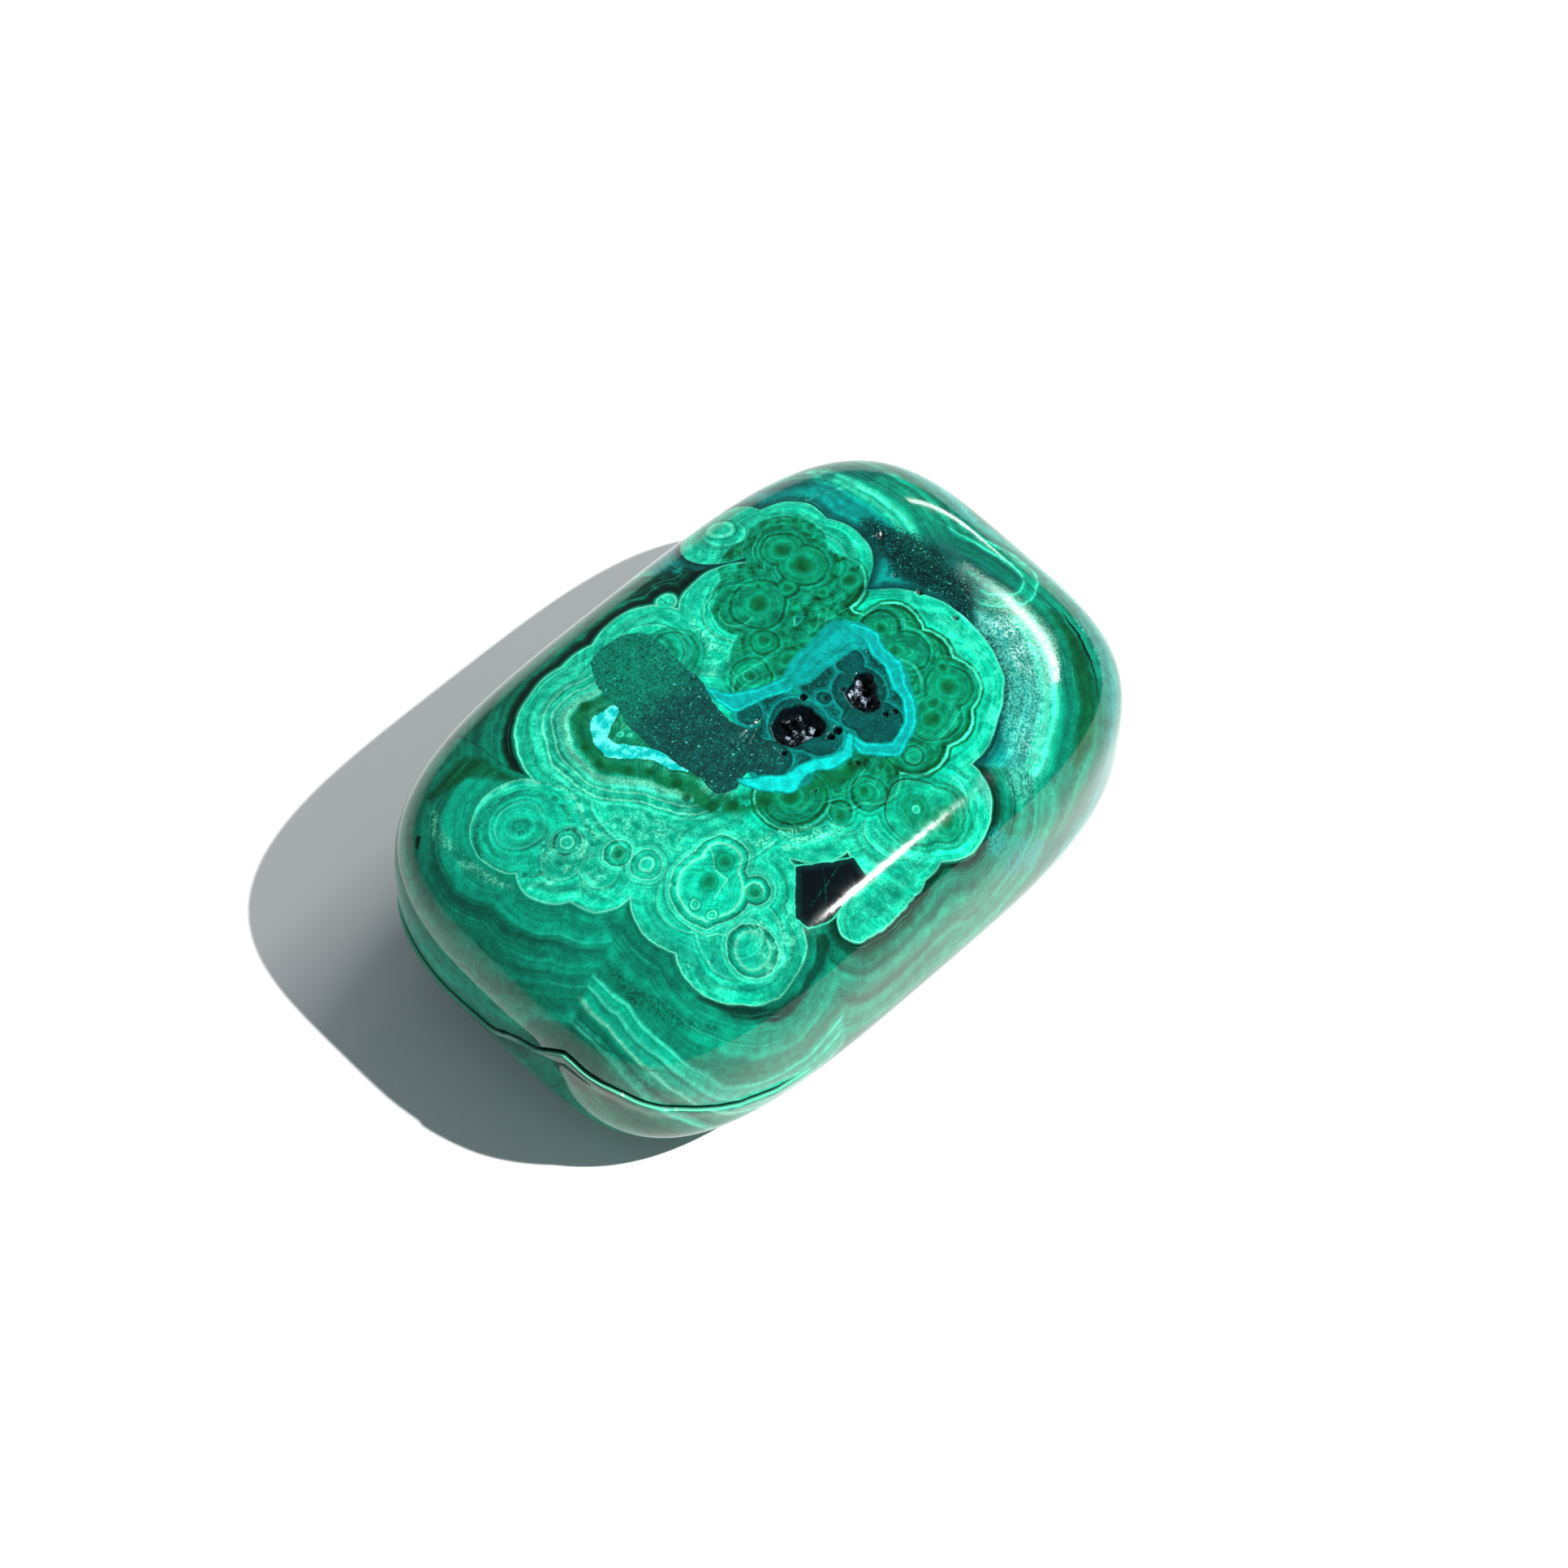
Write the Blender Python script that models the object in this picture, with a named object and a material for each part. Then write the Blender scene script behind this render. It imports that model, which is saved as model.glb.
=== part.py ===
# A tumbled and polished malachite palm stone: one solid piece, as it grew and was cut.
# Metres, +Z up. The stone rests on Z = 0 and the origin is under its middle.
# +X runs along its length, +Y across it. Run it with: blender --background --python part.py

import math

import bmesh
import bpy
from mathutils import Vector

# Overall size of the polished stone
LENGTH = 0.0520
WIDTH = 0.0350
FULL_HEIGHT = 0.0208

# How square the stone is: 2 is an ellipse, and higher numbers fill out the corners
PLAN_SQUARENESS = 3.7
PROFILE_SQUARENESS = 3.5

# The underside is worn flat by this much, which leaves the face that it rests on
RESTING_WEAR = 0.0002

# Each side of the starting cube is divided into this many strips
STRIPS = 24

# Slow unevenness left by tumbling: height of the swell and its length
SWELL_HEIGHT = 0.00012
SWELL_LENGTH = 0.030

# Two crystal-lined pits (vugs) in the top face: place on the plan, half width, half length, depth, turn
VUGS = {
    "vug_west": {"place": (0.0016, -0.0026), "half": (0.0014, 0.0019), "depth": 0.0016, "turn": -12.0},
    "vug_east": {"place": (0.0068, -0.0028), "half": (0.0010, 0.0016), "depth": 0.0014, "turn": 8.0},
}
VUG_FACETS = 3

# The natural fissure round the -X end: bearing in degrees from +X, and height above the stone's middle
FISSURE = [
    (150.0, -0.0024),
    (157.0, -0.0030),
    (166.0, -0.0034),
    (179.0, -0.0021),
    (189.0, 0.0012),
    (196.0, 0.0038),
    (204.0, 0.0029),
    (213.0, 0.0007),
    (224.0, -0.0017),
    (230.0, -0.0027),
    (235.0, -0.0031),
]
FISSURE_HALF_WIDTH = 0.00038
FISSURE_END_FACTOR = 0.3
FISSURE_STEPS = 4

STONE_GREEN = (0.005, 0.270, 0.140, 1.0)
STONE_ROUGHNESS = 0.12


def clear_scene():
    for old in list(bpy.data.objects):
        bpy.data.objects.remove(old, do_unlink=True)


def new_collection(name):
    collection = bpy.data.collections.new(name)
    bpy.context.scene.collection.children.link(collection)
    return collection


def stone_material():
    material = bpy.data.materials.new("polished_malachite")
    material.use_nodes = True
    shader = material.node_tree.nodes["Principled BSDF"]
    shader.inputs["Base Color"].default_value = STONE_GREEN
    shader.inputs["Roughness"].default_value = STONE_ROUGHNESS
    shader.inputs["Metallic"].default_value = 0.0
    return material


def mid_height():
    # The stone's middle stands half its height above the resting face, less what was worn away
    return FULL_HEIGHT / 2 - RESTING_WEAR


def surface_point(direction):
    # The pillow's surface along a direction from its middle, with the middle at zero
    x = abs(direction.x) / (LENGTH / 2)
    y = abs(direction.y) / (WIDTH / 2)
    z = abs(direction.z) / (FULL_HEIGHT / 2)
    plan = (x ** PLAN_SQUARENESS + y ** PLAN_SQUARENESS) ** (PROFILE_SQUARENESS / PLAN_SQUARENESS)
    reach = (plan + z ** PROFILE_SQUARENESS) ** (-1 / PROFILE_SQUARENESS)
    return direction * reach


def swell(point):
    # A gentle wave that fades out at the ends of each axis, so the overall size stays true
    turn = 2 * math.pi / SWELL_LENGTH
    wave = math.sin(point.x * turn + 0.7) * math.sin(point.y * turn + 1.9)
    fade = 1 - (2 * point.x / LENGTH) ** 2 * (2 * point.y / WIDTH) ** 2
    return SWELL_HEIGHT * wave * max(fade, 0.0)


def point_on_top(x, y):
    # The height of the top face over a place on the plan
    plan = (abs(2 * x / LENGTH) ** PLAN_SQUARENESS + abs(2 * y / WIDTH) ** PLAN_SQUARENESS)
    rise = (1 - plan ** (PROFILE_SQUARENESS / PLAN_SQUARENESS)) ** (1 / PROFILE_SQUARENESS)
    return Vector((x, y, mid_height() + FULL_HEIGHT / 2 * rise))


def point_on_side(bearing, height):
    # A place on the side: the walls are nearly upright there, so a few steps settle the height
    angle = math.radians(bearing)
    slope = 0.0
    for _ in range(12):
        point = surface_point(Vector((math.cos(angle), math.sin(angle), slope)))
        slope += (height - point.z) / math.hypot(point.x, point.y)
    return point + Vector((0, 0, mid_height()))


def add_object(name, mesh, collection):
    thing = bpy.data.objects.new(name, mesh)
    collection.objects.link(thing)
    return thing


def make_stone(collection):
    bm = bmesh.new()
    bmesh.ops.create_cube(bm, size=2.0)
    bmesh.ops.subdivide_edges(bm, edges=bm.edges[:], cuts=STRIPS - 1, use_grid_fill=True)
    for vert in bm.verts:
        # The cube is stretched to the stone's proportions first, so that its strips come out even
        cage = Vector((vert.co.x * LENGTH, vert.co.y * WIDTH, vert.co.z * FULL_HEIGHT))
        vert.co = surface_point(cage)
        vert.co.z += swell(vert.co) * vert.co.z / (FULL_HEIGHT / 2) + mid_height()
    worn = bmesh.ops.bisect_plane(
        bm,
        geom=bm.verts[:] + bm.edges[:] + bm.faces[:],
        dist=0.0000001,
        plane_co=(0, 0, 0),
        plane_no=(0, 0, -1),
        clear_outer=True,
    )
    rim = [item for item in worn["geom_cut"] if isinstance(item, bmesh.types.BMEdge)]
    bmesh.ops.edgeloop_fill(bm, edges=rim)
    bmesh.ops.recalc_face_normals(bm, faces=bm.faces[:])
    mesh = bpy.data.meshes.new("malachite_stone")
    bm.to_mesh(mesh)
    bm.free()
    mesh.materials.append(stone_material())
    mesh.shade_smooth()
    return add_object("malachite_stone", mesh, collection)


def make_vug_cutter(name, vug, collection):
    bm = bmesh.new()
    bmesh.ops.create_icosphere(bm, subdivisions=VUG_FACETS, radius=1.0)
    bmesh.ops.scale(bm, verts=bm.verts[:], vec=(vug["half"][0], vug["half"][1], vug["depth"]))
    mesh = bpy.data.meshes.new(name)
    bm.to_mesh(mesh)
    bm.free()
    cutter = add_object(name, mesh, collection)
    cutter.location = point_on_top(*vug["place"])
    cutter.rotation_euler = (0, 0, math.radians(vug["turn"]))
    return cutter


def make_fissure_cutter(collection):
    # A thin tube along the fissure's line, finer at both ends, made a mesh with its caps welded
    path = bpy.data.curves.new("fissure_path", "CURVE")
    path.dimensions = "3D"
    path.resolution_u = FISSURE_STEPS
    path.bevel_depth = FISSURE_HALF_WIDTH
    path.bevel_resolution = 1
    path.use_fill_caps = True
    spline = path.splines.new("BEZIER")
    spline.bezier_points.add(len(FISSURE) - 1)
    for knot, (bearing, height) in zip(spline.bezier_points, FISSURE):
        knot.co = point_on_side(bearing, height)
        knot.handle_left_type = "AUTO"
        knot.handle_right_type = "AUTO"
    spline.bezier_points[0].radius = FISSURE_END_FACTOR
    spline.bezier_points[-1].radius = FISSURE_END_FACTOR
    tube = add_object("fissure_path", path, collection)
    bpy.context.view_layer.update()
    evaluated = tube.evaluated_get(bpy.context.evaluated_depsgraph_get())
    mesh = bpy.data.meshes.new_from_object(evaluated)
    mesh.name = "fissure"
    bpy.data.objects.remove(tube, do_unlink=True)
    bm = bmesh.new()
    bm.from_mesh(mesh)
    bmesh.ops.remove_doubles(bm, verts=bm.verts[:], dist=0.000001)
    bmesh.ops.recalc_face_normals(bm, faces=bm.faces[:])
    bm.to_mesh(mesh)
    bm.free()
    return add_object("fissure", mesh, collection)


def cut(stone, cutter):
    cutter.display_type = "WIRE"
    cutter.hide_render = True
    boolean = stone.modifiers.new(cutter.name, "BOOLEAN")
    boolean.operation = "DIFFERENCE"
    boolean.solver = "EXACT"
    boolean.object = cutter


def main():
    clear_scene()
    parts = new_collection("malachite_specimen")
    cutters = new_collection("cutters")
    stone = make_stone(parts)
    for name, vug in VUGS.items():
        cut(stone, make_vug_cutter(name, vug, cutters))
    cut(stone, make_fissure_cutter(cutters))


main()
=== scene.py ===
import math

import bmesh
import bpy
from mathutils import Matrix, Vector, noise


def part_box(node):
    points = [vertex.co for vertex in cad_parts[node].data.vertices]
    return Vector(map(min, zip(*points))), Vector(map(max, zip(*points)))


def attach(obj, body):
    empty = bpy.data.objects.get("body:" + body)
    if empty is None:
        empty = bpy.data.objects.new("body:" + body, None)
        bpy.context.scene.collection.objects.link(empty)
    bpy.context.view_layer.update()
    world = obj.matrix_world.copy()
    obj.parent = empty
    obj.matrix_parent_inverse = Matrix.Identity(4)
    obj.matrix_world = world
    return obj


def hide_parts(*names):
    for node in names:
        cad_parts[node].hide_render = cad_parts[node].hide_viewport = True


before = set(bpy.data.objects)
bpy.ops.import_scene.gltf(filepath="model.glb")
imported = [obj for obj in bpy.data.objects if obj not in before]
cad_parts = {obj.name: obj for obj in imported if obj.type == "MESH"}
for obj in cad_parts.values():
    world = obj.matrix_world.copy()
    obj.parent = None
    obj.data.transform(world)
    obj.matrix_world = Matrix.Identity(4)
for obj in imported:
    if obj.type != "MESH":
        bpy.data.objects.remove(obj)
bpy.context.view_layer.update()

mm = 0.001
stoneLow, stoneHigh = (Vector(corner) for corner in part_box("malachite_stone"))


def srgb(red, green, blue):
    # a colour as a picker shows it, 0 to 255, turned into the linear value a shader wants
    return [channel / 12.92 if channel <= 0.04045 else ((channel + 0.055) / 1.055) ** 2.4
            for channel in (red / 255, green / 255, blue / 255)] + [1.0]


def smoothStep(low, high, value):
    part = min(max((value - low) / (high - low), 0.0), 1.0)
    return part * part * (3 - 2 * part)


def aroundTheCurve(radii, angle):
    # a radius read off a closed ring of evenly spaced ones, smoothed between them
    place = (angle / math.tau % 1.0) * len(radii)
    first = int(place)
    part = place - first
    before, here, after, beyond = (radii[(first + step) % len(radii)] for step in (-1, 0, 1, 2))
    return 0.5 * (2 * here + (after - before) * part
                  + (2 * before - 5 * here + 4 * after - beyond) * part ** 2
                  + (3 * here - before - 3 * after + beyond) * part ** 3)


stoneShape = {
    "planSquareness": 3.7,
    "profileSquareness": 3.5,
    "middleHeight": 0.0102,
    "halfHeight": 0.0104,
    "strips": 48,
    "swellHeight": 0.07 * mm,
    "swellLength": 30 * mm,
    "swellPhase": (2.62, 4.5),
    "facetHeight": 0.04 * mm,      # faint flats left by tumbling
    "facetSize": 11 * mm,
    "facetSink": 0.35,
}

# crystal-lined pits: middle on the plan, radii every 30 degrees from +X, depth
vugs = {
    "west": {"middle": (1.45, -2.35), "depth": 1.5,
             "radii": (1.55, 1.75, 1.75, 1.85, 1.9, 1.95, 1.85, 1.6, 1.25, 1.2, 1.75, 1.7)},
    "east": {"middle": (6.55, -3.15), "depth": 1.4,
             "radii": (1.2, 1.55, 1.3, 0.85, 0.95, 1.1, 1.2, 1.45, 1.75, 1.85, 1.1, 1.1)},
}
crystals = {
    "rim": 0.16,
    "ragged": ((0.13, 3.0, 1.7), (0.06, 9.0, 5.0)),      # amount, layer and scale of the rim's noises
    "wallWidth": 0.75,
    "size": 0.40,
    "height": 0.55,
    "lean": 1.5,
    "fineSize": 0.16,
    "fineHeight": 0.10,
    "fineLean": 0.6,
    "chanceSpread": 91.7,      # sets neighbours' random numbers apart
    # spots round which some crystal faces carry a painted glint: x, y, radius
    "paintedGlint": ((1.8, -3.05, 0.75), (0.9, -2.1, 0.45), (2.5, -1.7, 0.35), (6.2, -2.9, 0.45),
               (6.9, -2.5, 0.4), (6.5, -3.6, 0.4)),
    "paintedGlintShare": 0.62,
    "paintedGlintInside": 0.2,
    "flatBelow": 0.35,      # faces this deep keep their hard edges
}

# small open pores: middle on the plan, radius, depth
pores = (
    (3.3, -0.75, 0.30, 0.5), (3.15, -4.35, 0.36, 0.6), (2.45, -4.4, 0.28, 0.5), (-0.8, -3.1, 0.20, 0.4),
    (2.4, -7.1, 0.20, 0.3), (5.7, -2.2, 0.20, 0.3), (6.5, -5.65, 0.22, 0.35), (7.15, -5.95, 0.2, 0.3),
    (4.3, -1.85, 0.16, 0.2), (-13.3, -5.3, 0.16, 0.12), (-15.2, -11.1, 0.17, 0.12),
    (-16.4, -10.3, 0.15, 0.1), (-15.0, -2.0, 0.14, 0.1), (-1.3, -6.7, 0.16, 0.16),
    (16.8, 5.4, 0.34, 0.18), (15.4, 0.0, 0.28, 0.2), (15.8, -3.2, 0.26, 0.2), (15.1, 2.2, 0.24, 0.16),
)

# the fissure round the -X end: bearing from +X in degrees, height above the stone's middle
fissure = {
    "path": ((146, -2.2), (157, -3.0), (166, -3.4), (179, -2.1), (189, 1.2), (196, 3.8), (204, 2.9),
             (213, 0.7), (224, -1.7), (230, -2.7), (237, -3.2)),
    "wander": ((0.10, 1.3), (0.22, 5.0)),      # amount and length of the small turns it takes
    "halfWidth": 0.17,
    "depth": 0.55,
    "lipHeight": 0.16,
    "lipWidth": 1.7,
    "stepDepth": 0.12,
    "stepWidth": 2.2,
    "reach": 4,
    "fade": 8.0,      # degrees over which the ends close up
}


def pillowPoint(direction):
    # where a line from the stone's middle meets its surface
    shape = stoneShape
    across = abs(direction.x) / stoneHigh.x
    along = abs(direction.y) / stoneHigh.y
    up = abs(direction.z) / shape["halfHeight"]
    profile = shape["profileSquareness"]
    squareness = shape["planSquareness"]
    plan = (across ** squareness + along ** squareness) ** (profile / squareness)
    return direction * (plan + up ** profile) ** (-1 / profile)


def unevenness(point):
    # the slow swell, straight up, and the faint flats, along the normal
    shape = stoneShape
    turn = math.tau / shape["swellLength"]
    phaseX, phaseY = shape["swellPhase"]
    wave = math.sin(point.x * turn + phaseX) * math.sin(point.y * turn + phaseY)
    fade = max(1 - (point.x / stoneHigh.x) ** 2 * (point.y / stoneHigh.y) ** 2, 0.0)
    flats = noise.noise(point / shape["facetSize"])
    swell = shape["swellHeight"] * wave * fade * point.z / shape["halfHeight"]
    return swell, shape["facetHeight"] * (flats - shape["facetSink"])


def fissureHeight(bearing):
    # the fissure's height over the bearing, eased from one point to the next
    path = fissure["path"]
    if bearing <= path[0][0]:
        return path[0][1]
    for (startAt, startHeight), (endAt, endHeight) in zip(path, path[1:]):
        if bearing <= endAt:
            part = (bearing - startAt) / (endAt - startAt)
            part = part * 0.5 + smoothStep(0, 1, part) * 0.5
            return startHeight + (endHeight - startHeight) * part
    return path[-1][1]


def fissureOffset(point):
    # how far above the fissure a point on the side lies, in mm, and how open the fissure is there
    bearing = math.degrees(math.atan2(point.y, point.x)) % 360
    path, fade = fissure["path"], fissure["fade"]
    openness = smoothStep(path[0][0], path[0][0] + fade, bearing)
    openness *= smoothStep(path[-1][0], path[-1][0] - fade, bearing)
    if openness == 0:
        return 99.0, 0.0
    wander = sum(amount * noise.noise(point / (length * mm)) for amount, length in fissure["wander"])
    stretch = 2 * math.radians(1) * math.hypot(point.x, point.y) / mm
    rise = (fissureHeight(bearing + 1) - fissureHeight(bearing - 1)) / stretch
    return (point.z / mm - fissureHeight(bearing) + wander) / math.hypot(1, rise), openness


def crystalAt(x, y, size, height, lean):
    # one flat crystal face: its height in mm and a number that is the crystal's own
    spot = Vector((x, y, 0.0))
    middle = noise.voronoi(spot / size)[1][0]
    chance = noise.cell_vector(middle * crystals["chanceSpread"]) - Vector((0.5, 0.5, 0.5))
    across = spot - middle * size
    return height * (0.5 + chance.z) + lean * (chance.x * across.x + chance.y * across.y), chance.z + 0.5


def vugDepthAt(x, y):
    # depth of the crystal pits, and 1 where a crystal face there carries a painted glint
    deepest, glint = 0.0, 0.0
    for vug in vugs.values():
        dx, dy = x - vug["middle"][0], y - vug["middle"][1]
        reach = aroundTheCurve(vug["radii"], math.atan2(dy, dx))
        reach += sum(amount * noise.noise(Vector((x, y, layer)) * scale) for amount, layer,
                     scale in crystals["ragged"])
        inside = reach - math.hypot(dx, dy)
        if inside > -crystals["rim"]:
            wall = smoothStep(-crystals["rim"] * 0.4, crystals["wallWidth"], inside)
            floor = wall ** 0.6 * vug["depth"]
            rise, chance = crystalAt(x, y, crystals["size"], crystals["height"], crystals["lean"])
            fine, _ = crystalAt(x, y, crystals["fineSize"], crystals["fineHeight"], crystals["fineLean"])
            floor -= wall * (rise + fine)
            deepest = max(deepest, floor)
            # crystal faces near these spots carry a painted glint
            near = any(math.hypot(x - px, y - py) < radius for px, py, radius in crystals["paintedGlint"])
            if near and chance > crystals["paintedGlintShare"] and inside > crystals["paintedGlintInside"]:
                glint = 1.0
    for px, py, radius, depth in pores:
        inside = radius * (1 + 0.3 * noise.noise(Vector((x, y, px)) * 4)) - math.hypot(x - px, y - py)
        if inside > -0.08:
            deepest = max(deepest, depth * smoothStep(-0.06, radius * 0.8, inside))
    return max(deepest, 0.0), glint


def bakeChart(bm):
    # one flat patch of the bake map for each side of the starting cube, laid out at the stone's own scale
    length, width, height = stoneHigh.x / mm, stoneHigh.y / mm, stoneShape["halfHeight"] / mm
    margin = 1.0
    second = margin * 2 + width * 2
    third = second + margin + width * 2
    column = margin * 2 + length * 2
    page = column + margin * 2 + height * 4
    charts = {
        (2, 1): (margin, margin, 0, 1, length, width),
        (2, -1): (margin, second, 0, 1, length, width),
        (0, 1): (column, margin, 2, 1, height, width),
        (0, -1): (column, second, 2, 1, height, width),
        (1, -1): (margin, third, 0, 2, length, height),
        (1, 1): (column + margin + height * 2, margin, 2, 0, height, length),
    }
    uvLayer = bm.loops.layers.uv.new("OFBake")
    for face in bm.faces:
        axis = max(range(3), key=lambda a: abs(face.normal[a]))
        side = 1 if face.normal[axis] > 0 else -1
        left, bottom, first, other, halfFirst, halfOther = charts[(axis, side)]
        for loop in face.loops:
            spot = loop.vert.co
            loop[uvLayer].uv = ((left + (spot[first] + 1) * halfFirst) / page,
                                (bottom + (spot[other] + 1) * halfOther) / page)


# where the mesh is made finer, round by round, in mm
finer = {
    "pitBox": ((-1.1, 8.3), (-5.6, -0.1)),
    "pitMargins": (1.4, 0.9, 0.5, 0.25),
    "poreMargin": 0.3,
    "fissureMargins": (1.5, 0.9, 0.55, 0.42),
}


def refine(bm, rounds, wanted):
    # halves the faces that a test picks, round by round, and puts the new points on the surface
    for step in range(rounds):
        picked = [face for face in bm.faces if wanted(face.calc_center_median(), step)]
        edges = list({edge for face in picked for edge in face.edges})
        bmesh.ops.subdivide_edges(bm, edges=edges, cuts=1, use_grid_fill=True)
        for vert in bm.verts:
            vert.co = pillowPoint(vert.co)


def nearVugs(spot, step):
    margin = finer["pitMargins"][step]
    (left, right), (near, far) = finer["pitBox"]
    x, y = spot.x / mm, spot.y / mm
    if spot.z < 0:
        return False
    if left - margin < x < right + margin and near - margin < y < far + margin:
        return step < 2 or vugClose(x, y, margin)
    return any(math.hypot(x - px, y - py) < radius + margin * 0.7 for px, py, radius, _ in pores)


def vugClose(x, y, margin):
    for vug in vugs.values():
        dx, dy = x - vug["middle"][0], y - vug["middle"][1]
        if math.hypot(dx, dy) < aroundTheCurve(vug["radii"], math.atan2(dy, dx)) + margin:
            return True
    return any(math.hypot(x - px, y - py) < radius + finer["poreMargin"] for px, py, radius, _ in pores)


def nearFissure(spot, step):
    offset, openness = fissureOffset(spot)
    return openness > 0 and abs(offset) < finer["fissureMargins"][step]


def makeStone():
    shape = stoneShape
    bm = bmesh.new()
    bmesh.ops.create_cube(bm, size=2.0)
    bmesh.ops.subdivide_edges(bm, edges=bm.edges[:], cuts=shape["strips"] - 1, use_grid_fill=True)
    bm.normal_update()
    bakeChart(bm)
    proportions = Vector((stoneHigh.x, stoneHigh.y, shape["halfHeight"]))
    for vert in bm.verts:
        vert.co = pillowPoint(vert.co * proportions)
    refine(bm, len(finer["pitMargins"]), nearVugs)
    refine(bm, len(finer["fissureMargins"]), nearFissure)
    bm.normal_update()
    hollow = bm.verts.layers.float.new("hollow")
    crack = bm.verts.layers.float.new("crack")
    glint = bm.verts.layers.float.new("glint")
    moves = []
    for vert in bm.verts:
        spot = vert.co.copy()
        swell, flats = unevenness(spot)
        move = Vector((0, 0, swell)) + vert.normal * flats
        if spot.z > 0:
            depth, paintedGlint = vugDepthAt(spot.x / mm, spot.y / mm)
            vert[hollow] = depth
            vert[glint] = paintedGlint
            move.z -= depth * mm
        offset, openness = fissureOffset(spot)
        if openness > 0 and abs(offset) < fissure["reach"]:
            groove = max(1 - abs(offset) / fissure["halfWidth"], 0.0) ** 0.7
            lip = smoothStep(0.1, -0.25, offset) * smoothStep(-fissure["lipWidth"], -0.3, offset)
            step = smoothStep(-0.15, 0.15, offset) * smoothStep(fissure["stepWidth"], 0.2, offset)
            # the fissure's groove, which the material paints with a highlight line at its lips and shade
            # inside
            vert[crack] = groove * openness
            rise = fissure["lipHeight"] * lip - fissure["depth"] * groove - fissure["stepDepth"] * step
            move += vert.normal * mm * openness * rise
        moves.append(move)
    for vert, move in zip(bm.verts, moves):
        vert.co += move
        vert.co.z = max(vert.co.z + shape["middleHeight"], 0.0)
    for face in bm.faces:
        face.smooth = min(vert[hollow] for vert in face.verts) < crystals["flatBelow"]
    mesh = bpy.data.meshes.new("stone")
    bm.to_mesh(mesh)
    bm.free()
    thing = bpy.data.objects.new("stone", mesh)
    bpy.context.scene.collection.objects.link(thing)
    print("stone:", sum(len(face.vertices) - 2 for face in mesh.polygons), "triangles")
    return thing


def addNode(tree, kind, **settings):
    node = tree.nodes.new(kind)
    for name, value in settings.items():
        setattr(node, name, value)
    return node


def feed(tree, socket, value):
    if isinstance(value, bpy.types.NodeSocket):
        tree.links.new(value, socket)
    elif value is not None:
        if socket.type == "VECTOR" and len(value) == 2:
            value = (value[0], value[1], 0.0)
        socket.default_value = value


def maths(tree, operation, first, second=None, third=None):
    node = addNode(tree, "ShaderNodeMath", operation=operation)
    for socket, value in zip(node.inputs, (first, second, third)):
        feed(tree, socket, value)
    return node.outputs[0]


def vectorMaths(tree, operation, first, second=None, scale=None):
    node = addNode(tree, "ShaderNodeVectorMath", operation=operation)
    feed(tree, node.inputs[0], first)
    feed(tree, node.inputs[1], second)
    if scale is not None:
        feed(tree, node.inputs["Scale"], scale)
    return node.outputs["Value" if operation in ("LENGTH", "DISTANCE", "DOT_PRODUCT") else "Vector"]


def mapRange(tree, value, fromLow, fromHigh, toLow=0.0, toHigh=1.0, kind="SMOOTHSTEP"):
    node = addNode(tree, "ShaderNodeMapRange", interpolation_type=kind, clamp=False)
    for socket, setting in zip(node.inputs, (value, fromLow, fromHigh, toLow, toHigh)):
        feed(tree, socket, setting)
    return node.outputs[0]


def limit(tree, value):
    node = addNode(tree, "ShaderNodeClamp")
    feed(tree, node.inputs["Value"], value)
    return node.outputs[0]


def mixColours(tree, amount, under, over, blend="MIX"):
    node = addNode(tree, "ShaderNodeMix", data_type="RGBA", blend_type=blend)
    feed(tree, node.inputs["Factor"], amount)
    feed(tree, node.inputs[6], under)
    feed(tree, node.inputs[7], over)
    return node.outputs[2]


def colourRamp(tree, value, low, high, stops):
    # stops are (place, colour) pairs in the value's own units
    node = addNode(tree, "ShaderNodeValToRGB")
    ramp = node.color_ramp
    while len(ramp.elements) < len(stops):
        ramp.elements.new(1.0)
    for element, (place, colour) in zip(ramp.elements, stops):
        element.position = (place - low) / (high - low)
        element.color = colour
    feed(tree, node.inputs[0], mapRange(tree, value, low, high, kind="LINEAR"))
    return node.outputs["Color"]


def fractalNoise(tree, place, scale, detail=2.0, roughness=0.5, distortion=0.0, output="Fac", w=None):
    node = addNode(tree, "ShaderNodeTexNoise", noise_dimensions="3D" if w is None else "4D")
    feed(tree, node.inputs["Vector"], place)
    if w is not None:
        feed(tree, node.inputs["W"], w)
    for name, value in (("Scale", scale), ("Detail", detail), ("Roughness", roughness),
                        ("Distortion", distortion)):
        feed(tree, node.inputs[name], value)
    return node.outputs[output]


def newGroup(name, inputs, outputs):
    tree = bpy.data.node_groups.new(name, "ShaderNodeTree")
    for label, kind in inputs:
        tree.interface.new_socket(name=label, in_out="INPUT", socket_type="NodeSocket" + kind)
    for label, kind in outputs:
        tree.interface.new_socket(name=label, in_out="OUTPUT", socket_type="NodeSocket" + kind)
    entry = tree.nodes.new("NodeGroupInput")
    leave = tree.nodes.new("NodeGroupOutput")
    return tree, entry.outputs, leave.inputs


def useGroup(tree, group, **values):
    node = addNode(tree, "ShaderNodeGroup", node_tree=group)
    for name, value in values.items():
        feed(tree, node.inputs[name], value)
    return node.outputs


def makeLobeGroup():
    # a growth front: the distance to the nearest of several round lobes
    inputs = (("Place", "Vector"), ("Front", "Float"), ("Middle", "Vector"), ("Radius", "Float"))
    tree, given, result = newGroup("growthLobe", inputs, (("Front", "Float"),))
    reach = vectorMaths(tree, "DISTANCE", given["Place"], given["Middle"])
    edge = maths(tree, "SUBTRACT", reach, given["Radius"])
    feed(tree, result["Front"], maths(tree, "MINIMUM", given["Front"], edge))
    return tree


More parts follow.
